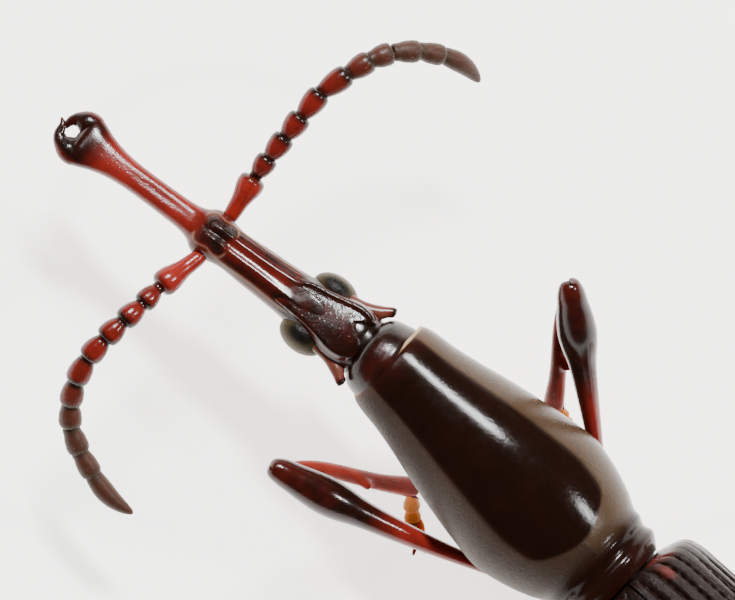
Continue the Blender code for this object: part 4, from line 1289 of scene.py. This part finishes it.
def tarsus_grids(leg):
    """Two foot joints, the lobed third, the claw joint and two claws."""
    at, ahead, across, up = tarsus_axes(leg)
    grids = []
    tone = 0.35 * smooth_step(0, 1, np.linspace(0, 1, 30))[:, None]
    for profile in FOOT_PROFILES:
        rows = curve_through(profile, 30)
        path = np.array([at(s) for s in rows[:, 0]])
        body = tube(path, rows[:, 1], 28, across, 1.08)
        grids.append(Grid(above_floor(body, leg), tone))
    for side in (-1, 1):
        centre = at(LOBED_JOINT) + across * 0.055 * side - up * 0.004
        turn = Matrix((across, ahead, up)).transposed().to_4x4()
        spread = Matrix.Rotation(math.radians(-14 * side), 4, "Z")
        lobe = ellipsoid(centre, LOBE_RADII, 30, 32, turn @ spread)
        grids.append(Grid(above_floor(lobe, leg), 0.1))
    rows = curve_through(CLAW_JOINT, 44)
    path = np.array([at(s) + up * CLAW_LIFT * rise for s, rise in rows[:, :2]])
    grids.append(Grid(above_floor(tube(path, rows[:, 2], 24, across), leg), 0.25))
    for side in (-1, 1):
        root = at(0.94) + up * 0.036
        out = across * side
        hook = (
            root + out * 0.010,
            root + ahead * 0.055 + out * 0.040 + up * 0.006,
            root + ahead * 0.105 + out * 0.062 - up * 0.020,
            root + ahead * 0.130 + out * 0.066 - up * 0.058,
        )
        path = curve_through(hook, 26)
        radii = np.interp(np.linspace(0, 1, 26), (0, 0.3, 0.7, 1), (0.026, 0.025, 0.017, 0.003))
        grids.append(Grid(above_floor(tube(path, radii, 14, across), leg), 0.9))
    return grids


# Fine hairs


def bristles(name, roots, ways, lengths, radius, lean):
    """Many thin bent hairs as one mesh, each a three sided spike."""
    count = len(roots)
    ways = units(ways)
    side = units(np.cross(ways, np.where(np.abs(ways[:, 2:3]) > 0.9, (1.0, 0, 0), (0, 0, 1.0))))
    other = np.cross(ways, side)
    lengths = lengths[:, None]
    middle = roots + ways * lengths * 0.55 + lean * lengths * 0.10
    tips = roots + ways * lengths + lean * lengths * 0.40
    rings = []
    for centre, size in ((roots - ways * 0.01, radius), (middle, radius * 0.7)):
        for k in range(3):
            turn = math.tau * k / 3
            rings.append(centre + (side * math.cos(turn) + other * math.sin(turn)) * size)
    points = np.stack([*rings, tips], axis=1).reshape(-1, 3)
    points[:, 2] = np.maximum(points[:, 2], 0.0)
    faces = []
    for k in range(3):
        j = (k + 1) % 3
        faces += [(k, j, 3 + j), (k, 3 + j, 3 + k), (3 + k, 3 + j, 6)]
    faces.append((2, 1, 0))
    faces = (np.array(faces)[None] + (np.arange(count) * 7)[:, None, None]).reshape(-1, 3)
    mesh = mesh_of(name, points, faces)
    place = np.stack([np.arange(count) / count, (np.arange(count) * 0.618) % 1.0], axis=1) * 0.99
    corner = np.array(((0, 0), (0.003, 0), (0.0015, 0.003)))
    uv = (np.repeat(place, len(faces) // count, axis=0)[:, None] + corner[None]).reshape(-1, 2)
    mesh.uv_layers.new(name="OFBake").data.foreach_set("uv", uv.ravel())
    return mesh


def outward(line, near, turn):
    """Directions square to a line, turned round it."""
    side = unit(np.cross(line, near))
    return side * np.cos(turn)[:, None] + np.cross(line, side) * np.sin(turn)[:, None]


def leg_hairs(leg, rng, length):
    """Hairs on the lower half of the shin, and the brushes under the foot joints."""
    place = LEGS[leg]
    knee, ankle = np.array(place["knee"]), np.array(place["ankle"])
    bent = BENT_SHIN.get(leg, (0, 0, 0))
    path, radii, share = leg_line(place["knee"], place["ankle"], TIBIA_PROFILE, 110, 1.0, bent, SHIN_BEND)
    line = unit(ankle - knee)
    s = rng.uniform(0.15, 1.0, SHIN_HAIRS) ** 0.7
    out = outward(line, (0.3, 0.2, 1.0), rng.uniform(0, math.tau, SHIN_HAIRS))
    index = np.clip(np.searchsorted(share, s), 0, len(share) - 1)
    roots = path[index] + out * radii[index][:, None] * 0.97
    ways = out * 0.25 + line
    lengths = length * rng.uniform(0.6, 1.2, SHIN_HAIRS) * (0.5 + 0.7 * s)
    at, ahead, across, up = tarsus_axes(leg)
    for centre, spread in ((0.25, 0.06), (0.44, 0.06), (LOBED_JOINT, 0.10)):
        shares = centre + rng.uniform(-spread, spread, SOLE_HAIRS)
        sideways = rng.uniform(-0.085, 0.085, SOLE_HAIRS)
        base = np.array([at(v) for v in shares]) + across * sideways[:, None]
        if leg == LIFTED:
            base = base - up * FOOT_HALF_DEPTH
        else:
            base[:, 2] = np.maximum(base[:, 2], FOOT_HALF_DEPTH)
        way = ahead * 0.4 - up * 0.5 + across * (sideways * 9)[:, None]
        roots, ways = np.vstack([roots, base]), np.vstack([ways, way])
        lengths = np.append(lengths, rng.uniform(0.035, 0.06, SOLE_HAIRS))
    return roots, ways, lengths


def antenna_hairs(joints, rng, length):
    """Short hairs laid along the last beads, sparse on the others."""
    roots, ways, lengths = [], [], []
    for i, (start, end) in enumerate(joints[:-1]):
        line = end - start
        count = DENSE_HAIRS if i >= FUNICLE_BEADS - 2 else SPARSE_HAIRS
        s = rng.uniform(0.15, 0.90, count)
        out = outward(unit(line), (0.1, 0.2, 1.0), rng.uniform(0, math.tau, count))
        radius = np.interp(s, (0.14, 0.36, 0.56, 0.82, 0.92), (0.74, 0.91, 0.985, 0.96, 0.83))
        roots.append(start + line * s[:, None] + out * radius[:, None] * 0.49 * BEAD_WIDTHS[i])
        ways.append(out * 0.35 + unit(line) * 0.95)
        lengths.append(length * rng.uniform(0.5, 1.0, count))
    return np.vstack(roots), np.vstack(ways), np.concatenate(lengths)


# What a user can change


def length_property(name, description, default_mm):
    settings = {"default": default_mm * MM, "min": 0.0, "unit": "LENGTH", "precision": 5}
    return bpy.props.FloatProperty(name=name, description=description, **settings)


def colour_property(name, description, *rgb):
    settings = {"default": (*rgb, 1.0), "size": 4, "subtype": "COLOR", "min": 0.0, "max": 1.0}
    return bpy.props.FloatVectorProperty(name=name, description=description, **settings)


def light_property(name, description, default):
    return bpy.props.FloatProperty(name=name, description=description, default=default, min=0.0)


class WeevilSizes(bpy.types.PropertyGroup):
    rib_depth: length_property("Rib depth", "How far the rows between the ribs are sunk", RIB_DEPTH)
    pit_depth: length_property("Pit depth", "Depth of the pits between the ribs", PIT_DEPTH)
    shin_hair: length_property("Shin hair", "Length of the hairs on the shins", 0.06)
    feeler_hair: length_property("Antenna hair", "Length of the hairs on the antennae", 0.032)


class WeevilColours(bpy.types.PropertyGroup):
    dark: colour_property("Dark shell", "Thick shell of the body", 0.008, 0.003, 0.0018)
    brown: colour_property("Brown", "Thinner shell of the pronotum", 0.045, 0.009, 0.006)
    red: colour_property("Red", "Thin shell of the snout, antennae and legs", 0.22, 0.016, 0.011)
    # Olive is painted reflection of the warm surround on the pronotum's sides, over their thin brown shell.
    olive: colour_property("Olive", "Thin sides of the pronotum", 0.42, 0.27, 0.15)
    # Pale also paints the glow of light through the snout's thin sides.
    pale: colour_property("Thin edge", "Thin translucent edges", 0.22, 0.10, 0.06)
    dull: colour_property("Dull", "The dull outer joints of the antennae", 0.040, 0.016, 0.007)
    eye_rim: colour_property("Eye", "Olive part of the eye", 0.050, 0.034, 0.013)
    eye_dark: colour_property("Eye centre", "Dark middle of the eye", 0.006, 0.005, 0.004)
    # The eye's pale edge is painted reflection.
    eye_edge: colour_property("Eye edge", "Pale outer edge of the eye", 0.080, 0.058, 0.026)
    amber: colour_property("Amber", "The feet", 0.42, 0.125, 0.006)
    hair: colour_property("Hair", "Fine hairs", 0.20, 0.12, 0.06)
    floor: colour_property("Floor", "The studio floor and the surround", 1.0, 0.97, 0.93)


class WeevilLight(bpy.types.PropertyGroup):
    key: light_property("Strips", "Strength of the strip lights overhead", 1.0)
    fill: light_property("Horizon", "Brightness of the pale surround", 1.0)
    floor: light_property("Base", "How much light the white base gives off", 2.5)


# Each shell's dark, thin and edge colours, its gloss and what else sets it apart
SHELLS = {
    # The polished shell's olive edge colour is painted reflection.
    "polished shell": ("dark", "brown", "olive", 0.11, {"sparkle": 0.8, "ior": 1.25}),
    "ribbed shell": ("dark", "red", "olive", 0.24, {"sparkle": 4.0, "ior": 1.25}),
    "head shell": ("dark", "red", "pale", 0.17, {"pits": 0.8, "sparkle": 1.2}),
    "bead shell": ("dark", "red", "dull", 0.15, {"sparkle": 1.0, "glow": 0.1, "ior": 1.33}),
    "leg shell": ("dark", "red", "pale", 0.16, {}),
    "shin shell": ("dark", "red", "pale", 0.20, {"glow": 0.2, "ior": 1.12}),
    "amber shell": ("brown", "amber", "pale", 0.35, {"glow": 0.4, "ior": 1.15}),
}


def finishes(context):
    """The materials of the animal, made once and shared."""
    colours = context.scene.weevil_colours
    made = {}

    def take(name, maker, *keys, **settings):
        shades = [tuple(getattr(colours, key)) for key in keys]
        made[name] = bpy.data.materials.get(name) or maker(name, *shades, **settings)

    for name, (dark, thin, edge, gloss, settings) in SHELLS.items():
        take(name, cuticle, dark, thin, edge, gloss=gloss, **settings)
    take("compound eye", eye_finish, "eye_rim", "eye_dark", "eye_edge")
    take("pale hair", hair_finish, "hair")
    return made


class WEEVIL_OT_stage(bpy.types.Operator):
    """Make the floor, the lights, the pale surround and the camera"""

    bl_idname = "weevil.stage"
    bl_label = "Stage, light and camera"

    def execute(self, context):
        colour, light = tuple(context.scene.weevil_colours.floor), context.scene.weevil_light
        make_floor(colour, light.floor)
        make_surround(colour, light.fill)
        make_lights(light.key)
        make_camera()
        return {"FINISHED"}


def camera_axes():
    """The view's rearward and sideways axes in space, right and down in the picture."""
    tilt = math.radians(CAMERA_TILT)
    rear = np.array((0.0, 1.0, 0.0))
    left = np.array((math.cos(tilt), 0.0, -math.sin(tilt)))
    right = rear * REARWARD[0] - left * REARWARD[1]
    down = rear * REARWARD[1] + left * REARWARD[0]
    return rear, left, right, down


def make_camera():
    rear, left, right, down = camera_axes()
    off = np.array(FRAME_MIDDLE) - np.array(AXIS_PIXEL)
    s = off @ np.array(REARWARD) - MARGIN_PIXELS
    n = off @ np.array((-REARWARD[1], REARWARD[0]))
    target = np.array((0, 0, AXIS_Z)) + rear * s * PX + left * n * PX
    towards = np.cross(right, -down)
    at = target + towards * CAMERA_AWAY
    data = bpy.data.cameras.new("camera")
    data.sensor_width = SENSOR
    data.lens = SENSOR * CAMERA_AWAY / (FRAME_WIDTH * PX)
    data.clip_start = 0.001
    data.clip_end = 10.0
    camera = add_object("camera", data)
    turn = Matrix((right, -down, towards)).transposed().to_4x4()
    camera.matrix_world = Matrix.Translation(at * MM + SHIFT_M) @ turn
    bpy.context.scene.camera = camera


def make_floor(colour, glow):
    half = FLOOR_HALF * MM
    mesh = bpy.data.meshes.new("floor")
    corners = [(-half, -half, 0), (half, -half, 0), (half, half, 0), (-half, half, 0)]
    mesh.from_pydata(corners, [], [(0, 1, 2, 3)])
    mesh.materials.append(floor_finish(colour, glow))
    add_object("floor", mesh)


def make_surround(colour, strength):
    """A pale ring of light near the horizon, dark overhead as behind a lens."""
    world = bpy.data.worlds.new("surround")
    tree = Tree(world)
    height = tree.node("ShaderNodeSeparateXYZ", {}, {0: tree.node("ShaderNodeTexCoord", {}, {})}, 2)
    stops = [(place, shaded(colour, level)) for place, level in SURROUND_STOPS]
    back = tree.nodes["Background"].inputs
    tree.feed(back["Color"], tree.node("ShaderNodeValToRGB", {"stops": stops}, {0: height}))
    tree.feed(back["Strength"], SURROUND_STRENGTH * strength)
    bpy.context.scene.world = world


def make_lights(strength):
    """Strip lights, seen as the streaks on the shell."""
    for name, way, size, milliwatts in STRIPS:
        back = Vector(unit(way))
        data = bpy.data.lights.new(name, "AREA")
        data.shape = "RECTANGLE"
        data.size, data.size_y = size[0] * MM, size[1] * MM
        data.energy = milliwatts * strength / 1000
        rearward = Vector((0, 1, 0)) - back * back.y
        rearward.normalize()
        turn = Matrix((rearward.cross(back), rearward, back)).transposed().to_4x4()
        at = np.array(STRIPS_AIM) + unit(way) * STRIPS_AWAY
        add_object(name, data).matrix_world = Matrix.Translation(at * MM + SHIFT_M) @ turn


class WEEVIL_OT_pronotum(bpy.types.Operator):
    """Make the long polished pronotum with its collar"""

    bl_idname = "weevil.pronotum"
    bl_label = "Pronotum"

    def execute(self, context):
        material = finishes(context)["polished shell"]
        place_skin("pronotum", [pronotum_grid()], material, "shell", "prothorax")
        return {"FINISHED"}


class WEEVIL_OT_under_body(bpy.types.Operator):
    """Make the chest and belly below the wing cases"""

    bl_idname = "weevil.under_body"
    bl_label = "Chest and belly"

    def execute(self, context):
        material = finishes(context)["leg shell"]
        chest = core_grid(GAP + 0.04, THORAX_END + GAP * 0.6, 220, chest_relief)
        belly = core_grid(THORAX_END + GAP, ABDOMEN_END, 240, belly_relief)
        place_skin("chest", [chest, waist_grid()], material, "shell", "thorax")
        place_skin("belly", [belly], material, "shell", "abdomen")
        return {"FINISHED"}


class WEEVIL_OT_wing_cases(bpy.types.Operator):
    """Make both ribbed and pitted wing cases"""

    bl_idname = "weevil.wing_cases"
    bl_label = "Wing cases"

    def execute(self, context):
        sizes = context.scene.weevil_sizes
        material = finishes(context)["ribbed shell"]
        for side, label in SIDES:
            grid = wing_case_grid(side, sizes.rib_depth / MM, sizes.pit_depth / MM)
            place_skin(f"wing_case_{label}", [grid], material, "shell", f"elytron_{label}")
        return {"FINISHED"}


class WEEVIL_OT_head(bpy.types.Operator):
    """Make the head and snout in one skin, the neck, the eyes and the jaws"""

    bl_idname = "weevil.head"
    bl_label = "Head, eyes and jaws"

    def execute(self, context):
        made = finishes(context)
        shell = made["head shell"]
        grids = [capsule_grid(), plate_grid(), hind_process_grid(1), hind_process_grid(-1)]
        place_skin("head_and_snout", grids, shell, "shell", "head", "rostrum_base", "rostrum_tip")
        place_skin("neck", [neck_grid()], shell, "shell")
        for side, label in SIDES:
            eye, jaw = [eye_grid(side)], [mandible_grid(side)]
            place_skin(f"compound_eye_{label}", eye, made["compound eye"], "eye", f"eye_{label}")
            place_skin(f"jaw_{label}", jaw, shell, "shell", f"mandible_{label}")
        return {"FINISHED"}


class WEEVIL_OT_antennae(bpy.types.Operator):
    """Make both beaded antennae with their hairs"""

    bl_idname = "weevil.antennae"
    bl_label = "Antennae"

    def execute(self, context):
        made = finishes(context)
        length = context.scene.weevil_sizes.feeler_hair / MM
        rng = np.random.default_rng(11)
        for side, label in SIDES:
            points = feeler_path(side, FEELERS[label])
            joints = joints_of(points)
            beads = []
            for i, (start, end) in enumerate(joints):
                dull = 0.85 * smooth_step(3.2, 7.0, i)
                last = i == len(joints) - 1
                beads.append(bead_grid(start, end, BEAD_WIDTHS[i], BEAD_FEET[i], side, last, dull))
            pieces = (
                ("first_joint", [scape_grid(points[0], points[1])], "red", "scape"),
                ("beads", beads[:FUNICLE_BEADS], "bead", "funicle"),
                ("end", beads[FUNICLE_BEADS:], "bead", "club"),
            )
            for part, grids, slot, node in pieces:
                shell = made["bead shell"]
                place_skin(f"antenna_{label}_{part}", grids, shell, slot, f"antenna_{label}_{node}")
            name = f"antenna_{label}_hairs"
            hairs = bristles(name, *antenna_hairs(joints, rng, length), FEELER_HAIR_RADIUS, np.zeros(3))
            place_piece(name, hairs, made["pale hair"], "bead")
        return {"FINISHED"}


class WEEVIL_OT_legs(bpy.types.Operator):
    """Make the six legs with their teeth, spurs, lobed feet, claws and hairs"""

    bl_idname = "weevil.legs"
    bl_label = "Legs"

    def execute(self, context):
        made = finishes(context)
        length = context.scene.weevil_sizes.shin_hair / MM
        rng = np.random.default_rng(23)
        for leg, place in LEGS.items():
            radius = COXA_RADIUS
            hip = Grid(ellipsoid(place["coxa"], (radius * 0.92, radius, radius), 40, 56), 0.7)
            pieces = (
                ("hip", [hip], "leg shell", "red", "coxa"),
                ("thigh", femur_grids(leg), "leg shell", "shell", "femur"),
                ("shin", tibia_grids(leg), "shin shell", "red", "tibia"),
                ("foot", tarsus_grids(leg), "amber shell", "amber", "tarsus"),
            )
            for part, grids, finish, slot, node in pieces:
                place_skin(f"{part}_{leg}", grids, made[finish], slot, f"leg_{leg}_{node}")
            name = f"hairs_{leg}"
            hairs = bristles(name, *leg_hairs(leg, rng, length), SHIN_HAIR_RADIUS, np.array((0, 0, -0.15)))
            place_piece(name, hairs, made["pale hair"], "amber")
        return {"FINISHED"}


class WEEVIL_PT_panel(bpy.types.Panel):
    """The weevil's pieces and settings"""

    bl_label = "Weevil"
    bl_space_type = "VIEW_3D"
    bl_region_type = "UI"
    bl_category = "Weevil"

    def draw(self, context):
        scene = context.scene
        for group in (scene.weevil_sizes, scene.weevil_colours, scene.weevil_light):
            box = self.layout.box()
            for key in group.__annotations__:
                box.prop(group, key)
        for operator in OPERATORS:
            self.layout.operator(operator.bl_idname)


OPERATORS = (
    WEEVIL_OT_stage,
    WEEVIL_OT_pronotum,
    WEEVIL_OT_under_body,
    WEEVIL_OT_wing_cases,
    WEEVIL_OT_head,
    WEEVIL_OT_antennae,
    WEEVIL_OT_legs,
)
GROUPS = (WeevilSizes, WeevilColours, WeevilLight)
CLASSES = (*GROUPS, *OPERATORS, WEEVIL_PT_panel)


def register():
    for made in CLASSES:
        bpy.utils.register_class(made)
    bpy.types.Scene.weevil_sizes = bpy.props.PointerProperty(type=WeevilSizes)
    bpy.types.Scene.weevil_colours = bpy.props.PointerProperty(type=WeevilColours)
    bpy.types.Scene.weevil_light = bpy.props.PointerProperty(type=WeevilLight)


def unregister():
    for name in ("weevil_sizes", "weevil_colours", "weevil_light"):
        delattr(bpy.types.Scene, name)
    for made in reversed(CLASSES):
        bpy.utils.unregister_class(made)


def main():
    register()
    bpy.ops.weevil.stage()
    bpy.ops.weevil.pronotum()
    bpy.ops.weevil.under_body()
    bpy.ops.weevil.wing_cases()
    bpy.ops.weevil.head()
    bpy.ops.weevil.antennae()
    bpy.ops.weevil.legs()


if __name__ == "__main__":
    main()
